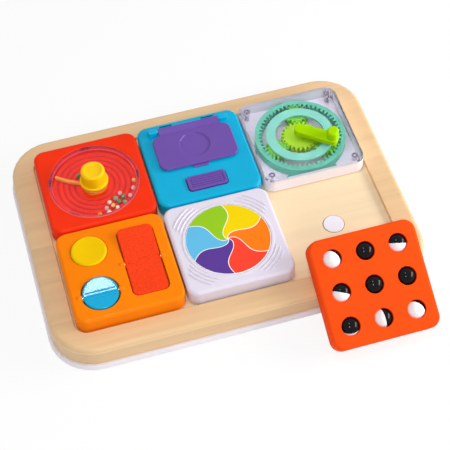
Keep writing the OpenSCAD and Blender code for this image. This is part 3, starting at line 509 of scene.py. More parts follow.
# bead tile
beadLook = {
    "shell": tint(246, 52, 18),
    # painted shade: dark crimson on the ledge where the notches lie, under the window
    "paintedNotchShade": tint(150, 16, 52),
    # painted shade: a darker crimson in the floor's grooves, on the basin wall and on the ledge under the
    # window
    "paintedGrooveShade": tint(218, 36, 44),
    "window": tint(250, 246, 252),
    # painted highlight: a pink, less clear tint on the window's rolled rim
    "paintedRimHighlight": tint(255, 190, 196),
    # painted highlight: a pink line on the basin's rounded mouth
    "lip": tint(255, 96, 92),
    "knob": tint(254, 202, 4),
    "arm": tint(253, 168, 62),
    "beads": [tint(60, 165, 95), tint(255, 165, 60), tint(250, 235, 205),
              tint(120, 190, 140), tint(250, 190, 190), tint(255, 205, 110)],
    # section of a bored bead of radius 1
    "barrel": [(0.28, -0.8), (0.55, -0.86), (0.82, -0.66), (0.97, -0.3), (1.0, 0),
               (0.97, 0.3), (0.82, 0.66), (0.55, 0.86), (0.28, 0.8)],
    "basin": 38.0,
    "basinFloor": 9.6,
    "ledge": 13.95,
    "windowRadius": 41.4,
    "windowHeights": (14, 16),
    "windowBore": 4.1,
    "groove": 5.0,           # step between the rings pressed in the floor
    "grooveFrom": 13,        # no ring is smaller than this
    "notches": (90, 164, 231, 357),
    "notchHalf": 5.5,
    "armAngle": 168,
    "armCurve": 70,
    "armFrom": 10.5,
    "armReach": 37.3,
    "armHeights": (9.9, 13.5),
    "armThick": 3.0,
    "armHub": [(4.05, 9.9), (12, 9.9), (12, 13.2), (11.5, 13.7), (4.05, 13.7)],
    "knobStem": [(0, 9.9), (4, 9.9), (4, 16.3)],
    "knobFoot": [(12.4, 16.3), (12.88, 16.5), (13.0, 17.0), (12.95, 17.7), (12.5, 18.3), (11.9, 18.5)],
    "knobSides": [(11.7, 18.55), (11.5, 18.9), (10.85, 29.4), (10.6, 30.3), (10.0, 31.0), (9.2, 31.4)],
    "knobDish": [(8.5, 31.5), (7.8, 31.35), (7.0, 30.95), (5.8, 30.75), (0, 30.7)],
}


def basinProfile():
    look = beadLook
    seat = look["windowRadius"] + 0.1 - look["basin"]
    floor, ledge = look["basinFloor"], look["ledge"]
    profile = [(seat + grow, height) for grow, height in roundMouth(0.5, tileForm["height"])]
    profile += [(seat, ledge), (0.6, ledge), (0.15, ledge - 0.15), (0, ledge - 0.6),
                (0, floor + 0.8), (-0.25, floor + 0.25), (-0.8, floor)]
    radius = look["basin"] - look["groove"]
    while radius > look["grooveFrom"]:
        for step, drop in ((1.0, 0), (0.5, 0.5), (0, 0.65), (-0.5, 0.5), (-1.0, 0)):
            profile.append((radius + step - look["basin"], floor - drop))
        radius -= look["groove"]
    return profile


def beadShellFinish(middle):
    # 0 shell, 1 painted shade at the notches, 2 painted shade in the basin, 3 painted highlight on the
    # lip, by where the face lies
    look = beadLook
    reach, height = middle.xy.length, middle.z
    wall, floor, above = look["basin"], look["basinFloor"], look["ledge"] + 0.25
    # ledge faces at the notches take the painted notch shade
    if wall + 0.7 < reach < look["windowRadius"] and look["ledge"] - 0.95 < height < above:
        turn = middle.xy.angle_signed(Vector((1, 0))) * 180 / pi
        if min(abs((turn - mark + 180) % 360 - 180) for mark in look["notches"]) < look["notchHalf"]:
            return 1
    # groove bottoms take the painted basin shade
    if reach < wall and floor - 0.7 < height < floor - 0.1:
        return 2
    # the rounded mouth takes the painted lip highlight
    if wall - 0.1 < reach < wall + 0.55 and look["ledge"] - 0.65 < height < above:
        return 3
    # the basin wall and ledge take the painted basin shade too
    if wall - 0.5 < reach < look["windowRadius"] and floor + 0.2 < height < above:
        return 2
    return 0


def beadSpots():
    # middle and radius of each of the frame's beads, found island by island
    source = bmesh.new()
    source.from_mesh(frame["nodes"]["beads"].data)
    bmesh.ops.remove_doubles(source, verts=source.verts, dist=1e-6)
    source.verts.ensure_lookup_table()
    seen = set()
    spots = []
    for vert in source.verts:
        if vert in seen:
            continue
        island, queue = [], [vert]
        seen.add(vert)
        while queue:
            here = queue.pop()
            island.append(here.co.copy())
            for edge in here.link_edges:
                other = edge.other_vert(here)
                if other not in seen:
                    seen.add(other)
                    queue.append(other)
        low = Vector([min(point[k] for point in island) for k in range(3)])
        high = Vector([max(point[k] for point in island) for k in range(3)])
        spots.append(((low + high) / 2, (high.x - low.x) / 2))
    source.free()
    return spots


def makeBeadShell(place, red):
    look = beadLook
    # painted shade for the ledge at the notches
    notchShadeFinish = mouldedPlastic("paintedNotchShadeRed", look["paintedNotchShade"])
    mesh = bmesh.new()
    basin = disc(look["basin"], count=120)
    tileShell(mesh, pockets=[(basin, basinProfile(), (1.6, look["basinFloor"] - 1.6))])
    for face in mesh.faces:
        face.material_index = beadShellFinish(face.calc_center_median())
    # painted shade for the basin's grooves, wall and ledge
    paintedGrooveShade = mouldedPlastic("paintedGrooveShadeRed", look["paintedGrooveShade"])
    # painted highlight for the basin's lip
    lip = mouldedPlastic("paintedLipHighlight", look["lip"], 0.25, 1.25)
    makePiece("beadShell", mesh, place, [red, notchShadeFinish, paintedGrooveShade, lip], "bead_tile", ["bead_shell"])


def makeBeadWindow(place):
    look = beadLook
    mesh = bmesh.new()
    rim, bore = look["windowRadius"], look["windowBore"]
    low, high = look["windowHeights"]
    glass = [(bore, low), (rim, low), (rim, high - 0.7), (rim - 0.2, high - 0.25), (rim - 0.7, high),
             (bore + 0.5, high), (bore, high - 0.4)]
    for face in revolve(mesh, glass, 120, closed=True):
        middle = face.calc_center_median()
        # the rolled rim faces take the pink painted highlight
        if middle.xy.length > rim - 0.75 and middle.z > high - 0.8:
            face.material_index = 1
    clear = [clearPlastic("windowClear", look["window"]),
             clearPlastic("paintedRimHighlight", look["paintedRimHighlight"], 0.12, 0.7)]
    makePiece("beadWindow", mesh, place, clear, "bead_tile", ["bead_window"])


def makeSweeper(place):
    look = beadLook
    mesh = bmesh.new()
    low, high = look["armHeights"]
    revolve(mesh, look["armHub"], 64, closed=True)
    rings = []
    half = look["armThick"] / 2
    steps = 26
    first = look["armFrom"] / look["armCurve"]
    last = look["armReach"] / look["armCurve"]
    for step in range(steps + 1):
        turn = first + (last - first) * step / steps
        left = (last - turn) * look["armCurve"]
        width = half * (1 if left > half else max(0.25, (1 - (1 - left / half) ** 2) ** 0.5))
        spot = Vector((look["armCurve"] * sin(turn), -look["armCurve"] * (1 - cos(turn)), 0))
        side = Vector((sin(turn), cos(turn), 0))
        section = platePath(2 * width, high - low, min(0.9, width * 0.9), (0, (low + high) / 2), 4)
        ring = []
        for across, height in section:
            point = spot + side * across
            point.z = height
            ring.append(mesh.verts.new(Matrix.Rotation(radians(look["armAngle"]), 3, "Z") @ point))
        rings.append(ring)
    joinRings(mesh, rings)
    amber = mouldedPlastic("armAmber", look["arm"], 0.25, 1.3)
    makePiece("beadSweeper", mesh, place, [amber], "bead_turner", ["bead_sweeper"])


def makeKnob(place):
    look = beadLook
    mesh = bmesh.new()
    revolve(mesh, look["knobStem"] + look["knobFoot"] + look["knobSides"] + look["knobDish"], 96)
    yellow = mouldedPlastic("knobYellow", look["knob"], 0.26, 1.25)
    makePiece("beadKnob", mesh, place, [yellow], "bead_turner", ["bead_knob"])


def makeLooseBeads(spots):
    # one bored bead for each of the frame's beads, in the same place
    look = beadLook
    mesh = bmesh.new()
    for i, (centre, radius) in enumerate(spots):
        bead = revolve(mesh, look["barrel"], 20, closed=True)
        turn = Matrix.Rotation(radians(47 * i + 20), 4, "Z")
        tilt = turn @ Matrix.Rotation(radians(35 + 53 * i % 70), 4, "X")
        spot = Matrix.Translation(centre) @ tilt @ Matrix.Scale(radius * 0.98, 4)
        verts = list({vert for face in bead for vert in face.verts})
        bmesh.ops.transform(mesh, matrix=spot, verts=verts)
        for face in bead:
            face.material_index = (i * 5 + i // 3) % len(look["beads"])
    colours = [mouldedPlastic("bead" + str(i), colour, 0.2, 1.45)
               for i, colour in enumerate(look["beads"], 1)]
    makePiece("looseBeads", mesh, Matrix.Identity(4), colours, "bead_load", ["beads"])


def makeBeadTile():
    place = tilePlace("bead")
    red = mouldedPlastic("beadRed", beadLook["shell"])
    makeBeadShell(place, red)
    makeBeadWindow(place)
    makeSweeper(place)
    makeKnob(place)
    spots = beadSpots()
    makeLooseBeads(spots)
    dressBack("bead", red)
    print("bead tile made:", len(spots), "beads")


# flip tile
flipLook = {
    "shell": tint(0, 172, 214),
    "purple": tint(108, 76, 165),
    "mirrorPocket": (60.2, 28.2, 3.1),
    "mirrorDepth": 1.15,
    "lid": (74, 41, 8),
    "tab": (15.4, 6.2, 2.6),
    "lidY": 10.5,
    "lidHeights": (16.3, 19.3),
    "dimple": 14.3,
    "dimpleY": 12.5,
    "hingeY": 37,
    "hingeZ": 18.7,
    "knuckle": 2.4,
    "leaf": 28.7,
    "ear": (29, 38),
    "earHalf": (2.9, 2.5),
    "slot": (12, 2.4),
    "slotAt": (20, 43.2),
    "button": (36, 16, 3),
    "buttonGap": 0.5,
    "buttonFrame": 2.6,
    "buttonFlange": 2,
    "buttonY": -29.5,
    "buttonHeights": (11.7, 17.5),
    "stem": (3, 8.2),        # radius and lowest point
    "ribs": 4,
    "ribStep": 2.5,
    "ribRadius": 0.75,
    "ribReach": 14.2,
}


def makeFlipShell(place, sky):
    look = flipLook
    top = tileForm["height"]
    mesh = bmesh.new()
    slotX, slotY = look["slotAt"]
    holes = [(plate(*look["slot"], 0.5, (side * slotX, slotY)), roundMouth(0.3, top)) for side in (-1, 1)]
    width, depth, corner = look["button"]
    gap = look["buttonGap"]
    buttonHole = plate(width + 2 * gap, depth + 2 * gap, corner + gap, (0, look["buttonY"]))
    holes.append((buttonHole, roundMouth(0.9, top)))
    bed = roundMouth(0.3, top) + [(0, top - look["mirrorDepth"])]
    tileShell(mesh, holes, [(plate(*look["mirrorPocket"], (0, look["lidY"])), bed, None)])
    y, z = look["hingeY"], look["hingeZ"]
    halfDeep, halfTall = look["earHalf"]
    crown = [(y + halfDeep * cos(pi * i / 14), z + halfTall * sin(pi * i / 14)) for i in range(15)]
    section = crown + [(y - 3.3, z - 2.0), (y - 3.9, top - 0.1), (y + 3.9, top - 0.1), (y + 3.3, z - 2.0)]
    for side in (-1, 1):
        start, end = sorted((side * look["ear"][0], side * look["ear"][1]))
        barAlongX(mesh, section, roundEnds(start, end, 2.2))
    makePiece("flipShell", mesh, place, [sky], "flip_tile", ["flip_shell"])


def makeLid(place, purple):
    look = flipLook
    mesh = bmesh.new()
    low, high = look["lidHeights"]
    hollow = [(0.35, high), (0.05, high - 0.12), (-0.25, high - 0.6),
              (-0.6, high - 0.92), (-1.2, high - 1.0)]
    dimple = (disc(look["dimple"], (0, look["dimpleY"])), hollow)
    undercut = ((-1.5, 0), (-1.5, 0.7), (-0.2, 1.0), (0, 1.3))
    solidPlate(mesh, plate(*look["lid"], (0, look["lidY"])), low, high, 1.2, [dimple], undercut)
    reach = look["lidY"] + look["lid"][1] / 2
    y, z = look["hingeY"], look["hingeZ"]
    wrap = [(y + look["knuckle"] * cos(turn), z + look["knuckle"] * sin(turn))
            for turn in [pi * (0.72 - 1.44 * i / 16) for i in range(17)]]
    root = [(reach - 2.0, low + 0.2), (reach - 2.0, high - 0.35), (reach + 1, high - 0.3)]
    leaf = look["leaf"]
    ends = [(-leaf, 0.93), (-leaf + 0.4, 1), (leaf - 0.4, 1), (leaf, 0.93)]
    barAlongX(mesh, root + wrap + [(reach + 1, low)], ends)
    front = look["lidY"] - look["lid"][1] / 2
    solidPlate(mesh, plate(*look["tab"], (0, front + 0.5)), low, high - 2.1, 0.6)
    makePiece("flipLid", mesh, place, [purple], "lid", ["flip_lid"])


def makeReleaseButton(place, purple):
    look = flipLook
    mesh = bmesh.new()
    low, high = look["buttonHeights"]
    width, depth, corner = look["button"]
    buttonY = look["buttonY"]
    rim, flange = 2 * look["buttonFrame"], 2 * look["buttonFlange"]
    well = (plate(width - rim, depth - rim, 1.4, (0, buttonY)),
            [(0.35, high), (0.1, high - 0.1), (-0.1, high - 0.7), (-0.4, high - 0.8)])
    solidPlate(mesh, plate(width, depth, corner, (0, buttonY)), low + 1.4, high, 0.9, [well])
    solidPlate(mesh, plate(width + flange, depth + flange, corner, (0, buttonY)), low, low + 1.5, 0.3)
    stem, foot = look["stem"]
    revolve(mesh, [(0, foot), (stem, foot), (stem, low + 0.1), (0, low + 0.1)], 24, (0, buttonY))
    rib, reach = look["ribRadius"], look["ribReach"]
    for i in range(look["ribs"]):
        ribY = buttonY + (i - (look["ribs"] - 1) / 2) * look["ribStep"]
        barAlongX(mesh, ringPath(rib, 14, (ribY, high - rib)), roundEnds(-reach, reach, 0.8))
    makePiece("releaseButton", mesh, place, [purple], "release", ["release_button"])


def mirrorFinish():
    silver, tree, surface, spot = startFinish("mirrorSilver", Metallic=1.0)
    haze = addNoise(tree, spot, 120)
    tones = [(0.3, (0.86, 0.88, 0.9, 1)), (0.7, (0.93, 0.94, 0.95, 1))]
    wireSurface(tree, surface, addRamp(tree, haze, tones), addRange(tree, haze, 0.03, 0.07))
    return silver


def makeFlipTile():
    place = tilePlace("flip")
    sky = mouldedPlastic("flipSky", flipLook["shell"], 0.13, 1.25)
    purple = mouldedPlastic("lidPurple", flipLook["purple"], 0.18, 1.3, 0.03, 0.06)
    makeFlipShell(place, sky)
    makeLid(place, purple)
    makeReleaseButton(place, purple)
    dressNode("peek_mirror", mirrorFinish())
    dressNode("lid_hinge_pin", pinSteel)
    dressNode("release_spring", pinSteel)
    dressBack("flip", sky)
    print("flip tile made")


# gear tile
gearLook = {
    "shell": tint(252, 251, 255),
    "frost": tint(250, 247, 254),
    "floor": tint(240, 232, 245),
    "ring": tint(106, 196, 168),
    "carrier": tint(140, 220, 200),
    "sun": tint(176, 226, 40),
    "planet": tint(120, 205, 60),
    "crank": tint(166, 220, 0),
    "shaftHole": 4.2,
    "crankAngle": -36,
    "crankHeights": (16.3, 21.8),
    "crankLength": 36.5,
    "hub": 5.7,
    "wide": 6.5,
    "crankCorner": 3.4,
    "grip": (10.6, 11.6, 4.8),
    "gripAt": 31,
    "gripTop": 30.8,
}


def crankOutline(grow):
    # round hub at the shaft, widening to a blunt end under the grip
    look = gearLook
    hub, wide = look["hub"] + grow, look["wide"] + grow
    end = look["crankLength"] + grow
    corner = look["crankCorner"] + grow
    path = arc((0, 0), hub, pi / 2, pi, 16)
    path += arc((end - corner, corner - wide), corner, -pi / 2, pi / 2, 8)
    return path + arc((end - corner, wide - corner), corner, 0, pi / 2, 8)


def makeGearShell(place):
    look = gearLook
    clear = [clearPlastic("gearClear", look["shell"]), clearPlastic("gearFrost", look["frost"], 0.2, 0.1)]
    mesh = bmesh.new()
    tileShell(mesh, [(disc(look["shaftHole"], count=48), roundMouth(0.5, tileForm["height"]))])
    wallFrom = tileForm["width"] / 2 - tileForm["wall"] - 0.2
    for face in mesh.faces:
        middle = face.calc_center_median()
        if max(abs(middle.x), abs(middle.y)) > wallFrom and middle.z < tileForm["height"] - 2.6:
            face.material_index = 1
    makePiece("gearShell", mesh, place, clear, "gear_tile", ["gear_shell"])


def makeCrank(place):
    look = gearLook
    mesh = bmesh.new()
    low, high = look["crankHeights"]
    solidPlate(mesh, crankOutline, low, high, 1.0)
    solidPlate(mesh, plate(*look["grip"], (look["gripAt"], 0)), high - 1.0, look["gripTop"], 2.2)
    turned = place @ Matrix.Rotation(radians(look["crankAngle"]), 4, "Z")
    lime = mouldedPlastic("crankLime", look["crank"], 0.28, 1.12)
    makePiece("crankHandle", mesh, turned, [lime], "crank", ["crank_handle"])


def makeGearTile():
    look = gearLook
    place = tilePlace("gear")
    makeGearShell(place)
    makeCrank(place)
    dressNode("ring_gear", mouldedPlastic("ringTeal", look["ring"]))
    dressNode("planet_carrier", mouldedPlastic("carrierMint", look["carrier"]))
    dressNode("sun_gear", mouldedPlastic("sunLime", look["sun"]))
    leaf = mouldedPlastic("planetLeaf", look["planet"])
    for k in (1, 2, 3):
        dressNode("planet_gear_" + str(k), leaf)
    dressBack("gear", mouldedPlastic("gearFloor", look["floor"], 0.4, 1.1, 0.01))
    print("gear tile made")


# switch tile
switchLook = {
    "shell": tint(255, 131, 0),
    "button": tint(244, 198, 0),
    "blue": tint(0, 168, 214),
    "scarlet": tint(248, 66, 24),
    "push": 15.9,
    "pushAt": (-21.7, 22.7),
    "pushTop": 17.2,
    "pushGap": 0.3,
    "pushFlange": (2, 11.7, 13.2),     # reach, lower and upper face
    "pushStem": (3, 8.7),              # radius and lowest point
    "round": 15.7,
    "roundAt": (-21.5, -22.5),
    "roundTilt": 7,
    "long": (31, 69, 5),
    "longAt": (21, 1),
    "longTilt": 3.5,
    "gap": 1.4,
    "longGap": 0.9,
    "pivot": 14.0,
    "valley": 1.4,
    "under": 3.6,
    "bump": 3.0,
    "bumpLength": 3.4,
    "ridge": (0.8, 2.8, 13.4),         # radius, step and reach of the round rocker's ridges
    "wave": (13, 1.1, 24),             # reach, sway and wavelength of the long rocker's ridge
    "waveSection": [(1.1, -0.3), (0.7, 0.5), (0, 0.8), (-0.7, 0.5), (-1.1, -0.3)],
}


def rockerBody(mesh, outline, tilt, edge):
    # slab with a valley across its middle, tipped onto its front half
    look = switchLook
    solidPlate(mesh, outline, -look["under"], look["valley"], edge, foot=((-0.5, 0), (0, 0.5)))
    flat = [face for face in mesh.faces if len(face.verts) > 4 and face.calc_center_median().z > 0]
    bmesh.ops.triangulate(mesh, faces=flat)
    bmesh.ops.bisect_plane(mesh, geom=mesh.verts[:] + mesh.edges[:] + mesh.faces[:], dist=1e-4,
                           plane_co=(0, 0, 0), plane_no=(0, 1, 0))
    for vert in mesh.verts:
        if vert.co.z > -look["under"] / 2:
            vert.co.z += abs(vert.co.y) * tan(radians(tilt))


def rockerPlace(spot, tilt):
    turned = Matrix.Rotation(radians(tilt), 4, "X")
    return Matrix.Translation((*spot, switchLook["pivot"])) @ turned


def makeSwitchShell(place, orange):
    look = switchLook
    top = tileForm["height"]
    gap, slit = look["gap"], look["longGap"]
    width, depth, corner = look["long"]
    mesh = bmesh.new()
    outlines = [disc(look["push"] + look["pushGap"], look["pushAt"]),
                disc(look["round"] + gap, look["roundAt"]),
                plate(width + 2 * slit, depth + 2 * slit, corner + slit, look["longAt"])]
    tileShell(mesh, [(outline, roundMouth(0.7, top)) for outline in outlines])
    for (x, y), half in ((look["roundAt"], look["round"]), (look["longAt"], width / 2)):
        for side in (-1, 1):
            # each bump reaches in to the rocker, over its pin
            start, end = sorted((x + side * (half + 0.25), x + side * (half + gap + look["bumpLength"])))
            barAlongX(mesh, ringPath(look["bump"], 20, (y, look["pivot"])), roundEnds(start, end, 1.2))
    makePiece("switchShell", mesh, place, [orange], "switch_tile", ["switch_shell"])


def makeRoundButton(place):
    look = switchLook
    mesh = bmesh.new()
    push, crown = look["push"], look["pushTop"]
    lip, low, high = look["pushFlange"]
    stem, foot = look["pushStem"]
    cap = [(0, foot), (stem, foot), (stem, low), (push + lip, low), (push + lip, high), (push, high)]
    edge = [(push + grow, height) for grow, height in roundTop(1.9, crown, 8)]
    dish = [(12.8, crown - 0.05), (11.5, crown - 0.2), (8, crown - 0.38), (0, crown - 0.45)]
    revolve(mesh, cap + edge + dish, 72, look["pushAt"])
    yellow = mouldedPlastic("pushYellow", look["button"])
    makePiece("roundButton", mesh, place, [yellow], "push", ["round_button"])


def makeRoundRocker(place):
    look = switchLook
    mesh = bmesh.new()
    rockerBody(mesh, disc(look["round"], count=96), look["roundTilt"], 1.4)
    ridge, step, reach = look["ridge"]
    for i in (-1, 0, 1):
        ridgeZ = look["valley"] + abs(i) * step * tan(radians(look["roundTilt"]))
        barAlongX(mesh, ringPath(ridge, 14, (i * step, ridgeZ - 0.1)), roundEnds(-reach, reach, 0.9))
    blue = mouldedPlastic("rockerBlue", look["blue"], 0.08, 1.3, 0.03, 0.01)
    tipped = place @ rockerPlace(look["roundAt"], look["roundTilt"])
    makePiece("roundRocker", mesh, tipped, [blue], "disc_switch", ["round_rocker"], 20)


def pebbledPlastic(name, colour):
    finish, tree, surface, spot = startFinish(name, IOR=1.16)
    pebbles = addNoise(tree, spot, 620, 2, 0.4)
    tones = [(0.35, lighten(colour, 0.9)), (0.65, lighten(colour, 1.08))]
    wireSurface(tree, surface, addRamp(tree, pebbles, tones), addRange(tree, pebbles, 0.36, 0.5))
    addBump(tree, surface, pebbles, 0.5, 0.0006)
    return finish


def makeLongRocker(place):
    look = switchLook
    mesh = bmesh.new()
    rockerBody(mesh, plate(*look["long"]), look["longTilt"], 0.9)
    reach, sway, length = look["wave"]
    wave = []
    steps = 40
    for i in range(steps + 1):
        x = -reach + 2 * reach * i / steps
        y = sway * sin(2 * pi * x / length)
        size = min(1.0, 0.3 + 0.25 * min(i, steps - i))
        wave.append([mesh.verts.new((x, y + across * size, look["valley"] + height * size))
                     for across, height in look["waveSection"]])
    joinRings(mesh, wave)
    scarlet = pebbledPlastic("rockerScarlet", look["scarlet"])
    tipped = place @ rockerPlace(look["longAt"], look["longTilt"])
    makePiece("longRocker", mesh, tipped, [scarlet], "bar_switch", ["long_rocker"], 20)


def makeSwitchTile():
    place = tilePlace("switch")
    orange = mouldedPlastic("switchOrange", switchLook["shell"], 0.22, 1.18)
    makeSwitchShell(place, orange)
    makeRoundButton(place)
    makeRoundRocker(place)
    makeLongRocker(place)
    dressNode("button_spring", pinSteel)
    dressNode("rocker_pins", pinSteel)
    dressBack("switch", orange)
    print("switch tile made")


# wheel tile
wheelLook = {
    "shell": tint(225, 218, 232),
    "line": tint(250, 250, 248),
    "sectors": {
        "sectorYellow": tint(242, 211, 8),
        "sectorGreen": tint(149, 201, 36),
        "sectorSky": tint(99, 187, 228),
        "sectorPurple": tint(92, 60, 148),
        "sectorRed": tint(248, 70, 50),
        "sectorOrange": tint(255, 126, 25),
    },
    "radius": 37.5,
    "heights": (14.4, 16.4),
    "recess": 37.8,
    "recessFloor": 14.2,
    "firstEdge": 23.3,       # angle of the yellow sector's right end at the rim
    "sway": (-40, 120),      # how an edge bends on its way in, degrees
    "lineWide": 0.7,
    "ridges": [(42.4, 22), (45.9, 19), (49.4, 15)],     # radius and half span
    "ridgeSection": [(0.95, -0.1), (0.75, 0.35), (0.4, 0.7), (0, 0.8),
                     (-0.4, 0.7), (-0.75, 0.35), (-0.95, -0.1)],
    "rim": [(-0.3, -0.08), (-0.08, -0.3), (0, -0.6)],   # the wheel's rolled edge
}


def makeWheelShell(place, white):
    look = wheelLook
    top = tileForm["height"]
    mesh = bmesh.new()
    lip = [(2.7, top), (2.45, top + 0.1), (2.2, top + 0.38), (1.9, top + 0.5),
           (0.6, top + 0.5), (0.2, top + 0.38), (0, top + 0.1), (0, look["recessFloor"])]
    tileShell(mesh, pockets=[(disc(look["recess"], count=120), lip, None)])
    steps = 18
    for radius, span in look["ridges"]:
        for corner in (45, 135, 225, 315):
            rings = []
            for i in range(steps + 1):
                turn = radians(corner - span + 2 * span * i / steps)
                size = min(1.0, 0.25 + min(i, steps - i) * 0.4)
                ring = []
                for across, height in look["ridgeSection"]:
                    reach = radius + across * size
                    rise = height * size if height > 0 else height
                    ring.append(mesh.verts.new((reach * cos(turn), reach * sin(turn), top + rise)))
                rings.append(ring)
            joinRings(mesh, rings)
    makePiece("wheelShell", mesh, place, [white], "wheel_tile", ["wheel_shell"])


def sectorEdge(k, inward):
    # angle of an edge between two sectors; inward is 0 at the rim and 1 in the middle
    first, last = wheelLook["sway"]
    bend = first * inward + last * inward ** 3
    return radians(wheelLook["firstEdge"] + 60 * k + bend)


def makeColourWheel(place, line):
    look = wheelLook
    mesh = bmesh.new()
    low, high = look["heights"]
    radius = look["radius"]
    flat = radius - 0.6
    steps, across = 30, 12
    inner = 1.0
    rows = []
    for i in range(steps + 1):
        reach = inner + (flat - inner) * i / steps
        inward = 1 - reach / flat
        half = min(look["lineWide"] / 2 / reach, radians(14))
        row = []
        for k in range(6):
            start, end = sectorEdge(k, inward) + half, sectorEdge(k + 1, inward) - half
            for j in range(across + 1):
                turn = start + (end - start) * j / across
                row.append(mesh.verts.new((reach * cos(turn), reach * sin(turn), high)))
        rows.append(row)
    perRow = len(rows[0])
    for before, after in zip(rows, rows[1:]):
        for j in range(perRow):
            face = mesh.faces.new((before[j], after[j], after[(j + 1) % perRow], before[(j + 1) % perRow]))
            sector, step = divmod(j, across + 1)
            face.material_index = 0 if step == across else sector + 1
    mesh.faces.new(rows[0])
    outerRings = [rows[-1]]
    rolled = [(grow, high + drop) for grow, drop in look["rim"]]
    for grow, height in rolled + [(0, low + 0.2), (-0.2, low)]:
        scale = (radius + grow) / flat
        outerRings.append([mesh.verts.new((vert.co.x * scale, vert.co.y * scale, height))
                           for vert in rows[-1]])
    for before, after in zip(outerRings, outerRings[1:]):
        bridge(mesh, before, after)
    fillFlat(mesh, [outerRings[-1]])
    sectors = [mouldedPlastic(name, colour, 0.26, 1.15, 0.025)
               for name, colour in look["sectors"].items()]
    makePiece("colourWheel", mesh, place, [line] + sectors, "wheel", ["colour_wheel"])


def makeWheelTile():
    place = tilePlace("wheel")
    white = mouldedPlastic("wheelWhite", wheelLook["shell"], 0.28, 1.3, 0.012)
    makeWheelShell(place, white)
    line = mouldedPlastic("wheelLine", wheelLook["line"], 0.25, 1.3, 0.01)
    makeColourWheel(place, line)
    dressNode("wheel_axle", line)
    dressBack("wheel", white)
    print("wheel tile made")


# ball tile, leaning on the tray's front edge
ballLook = {
    "shell": tint(254, 80, 24),
    "white": tint(244, 240, 242),
    "black": tint(11, 7, 11),
    "hole": 8.1,
    "pitch": 29.5,
    "seat": 2.1,             # lowest point of a ball above the tile's underside
    # where each ball's white pole points: turn in the tile's plane, lean from its normal
    "poles": [(210, 52), (0, 180), (258, 97),
              (245, 93), (0, 176), (0, 172),
              (268, 138), (183, 88), (218, 54)],
    # the moulding seam, on a ball of radius 1
    "seam": [(0.9995, -0.012), (0.992, -0.004), (0.992, 0.004), (0.9995, 0.012)],
}


def leanPlace():
    spots = {k: Vector(jointAt["ball_" + str(k) + "_roll"]["pos_m"]) for k in (2, 4, 5, 6, 8)}
    along = (spots[6] - spots[4]).normalized()
    back = (spots[2] - spots[8]).normalized()
    up = along.cross(back)
    low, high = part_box("ball_5")
    lift = ballLook["seat"] * 0.001 + (high.x - low.x) / 2
    turned = Matrix((along, back, up)).transposed().to_4x4()
    return Matrix.Translation(spots[5] - up * lift) @ turned @ millimetres


def makeBallShell(place, vermilion):
    look = ballLook
    top = tileForm["height"]
    mesh = bmesh.new()
    pitch = look["pitch"]
    spots = [(column * pitch, row * pitch) for row in (1, 0, -1) for column in (-1, 0, 1)]
    tileShell(mesh, [(disc(look["hole"], spot, 56), roundMouth(0.7, top)) for spot in spots])
    makePiece("ballShell", mesh, place, [vermilion], "ball_tile", ["ball_shell"])


def makeTwoToneBall(k, pole, turned, finishes):
    low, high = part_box("ball_" + str(k))
    radius = (high.x - low.x) / 2
    mesh = bmesh.new()
    steps = 40
    profile = [(0, -1)]
    for i in range(1, steps):
        angle = -pi / 2 + pi * i / steps
        profile.append((cos(angle), sin(angle)))
        if i == steps // 2:
            profile[-1:] = ballLook["seam"]
    revolve(mesh, profile + [(0, 1)], 64)
    for face in mesh.faces:
        face.material_index = 0 if face.calc_center_median().z > 0 else 1
    turn, lean = pole
    aim = Matrix.Rotation(radians(turn), 4, "Z") @ Matrix.Rotation(radians(lean), 4, "Y")
    spot = Matrix.Translation((low + high) / 2) @ turned @ aim @ Matrix.Scale(radius * 0.9995, 4)
    makePiece("twoToneBall" + str(k), mesh, spot, finishes, "roller_" + str(k),
              ["ball_" + str(k)], 60)


def makeBallTile():
    look = ballLook
    place = leanPlace()
    vermilion = mouldedPlastic("ballVermilion", look["shell"], 0.4, 1.04)
    makeBallShell(place, vermilion)
    white = mouldedPlastic("ballWhite", look["white"], 0.14, 1.3, 0.01, 0.01)
    black = mouldedPlastic("ballBlack", look["black"], 0.06, 1.24, 0.01, 0.01)
    turned = place.to_3x3().normalized().to_4x4()
    for k, pole in enumerate(look["poles"], 1):
        makeTwoToneBall(k, pole, turned, [white, black])
    dressBack("ball", vermilion)
    print("ball tile made")


# studio
studio = {
    "floor": (3.2, 3.2, 0.4),
    "floorDrop": 0.0004,
    "floorColour": (0.94, 0.94, 0.94, 1),
    "glow": 0.82,            # share of the floor that the camera sees as plain white
    "ambient": 0.44,
    "lamps": [
        # name, place, aim, width, depth, watts
        ("softTop", (-0.06, 0.068, 1.3), (0, 0, 0), 0.15, 0.15, 2.4),
        ("keyRight", (1.05, -0.26, 0.42), (0, 0, 0.02), 0.9, 0.32, 11.0),
        ("cameraFill", (-0.2, -0.76, 1.05), (0, 0, 0.02), 0.14, 0.14, 4.2),
    ],
}
view = {
    "azimuth": -14.56,
    "elevation": 53.489,
    "roll": -1.972,
    "distance": 1.1509,
    "target": (0.001525, -0.03338, 0.0385),
    "focal": 1313.4,         # pixels
    "pictureWidth": 450,     # pixels
    "sensor": 36,
}


def whiteToCamera(tree):
    # 1 where a ray comes straight from the camera, a mirror or glass
    rays = tree.nodes.new("ShaderNodeLightPath")
    total = rays.outputs["Is Camera Ray"]
    for kind in ("Is Glossy Ray", "Is Transmission Ray"):
        total = addMath(tree, "MAXIMUM", total, rays.outputs[kind])
    return total


def makeWorld():
    world = bpy.data.worlds.new("studioWorld")
    scene.world = world
    world.use_nodes = True
    tree = world.node_tree
    sky = tree.nodes["Background"]
    sky.inputs["Color"].default_value = (1, 1, 1, 1)
    level = tree.nodes.new("ShaderNodeMapRange")
    level.inputs["To Min"].default_value = studio["ambient"]
    level.inputs["To Max"].default_value = 1.0
    tree.links.new(whiteToCamera(tree), level.inputs["Value"])
    tree.links.new(level.outputs["Result"], sky.inputs["Strength"])


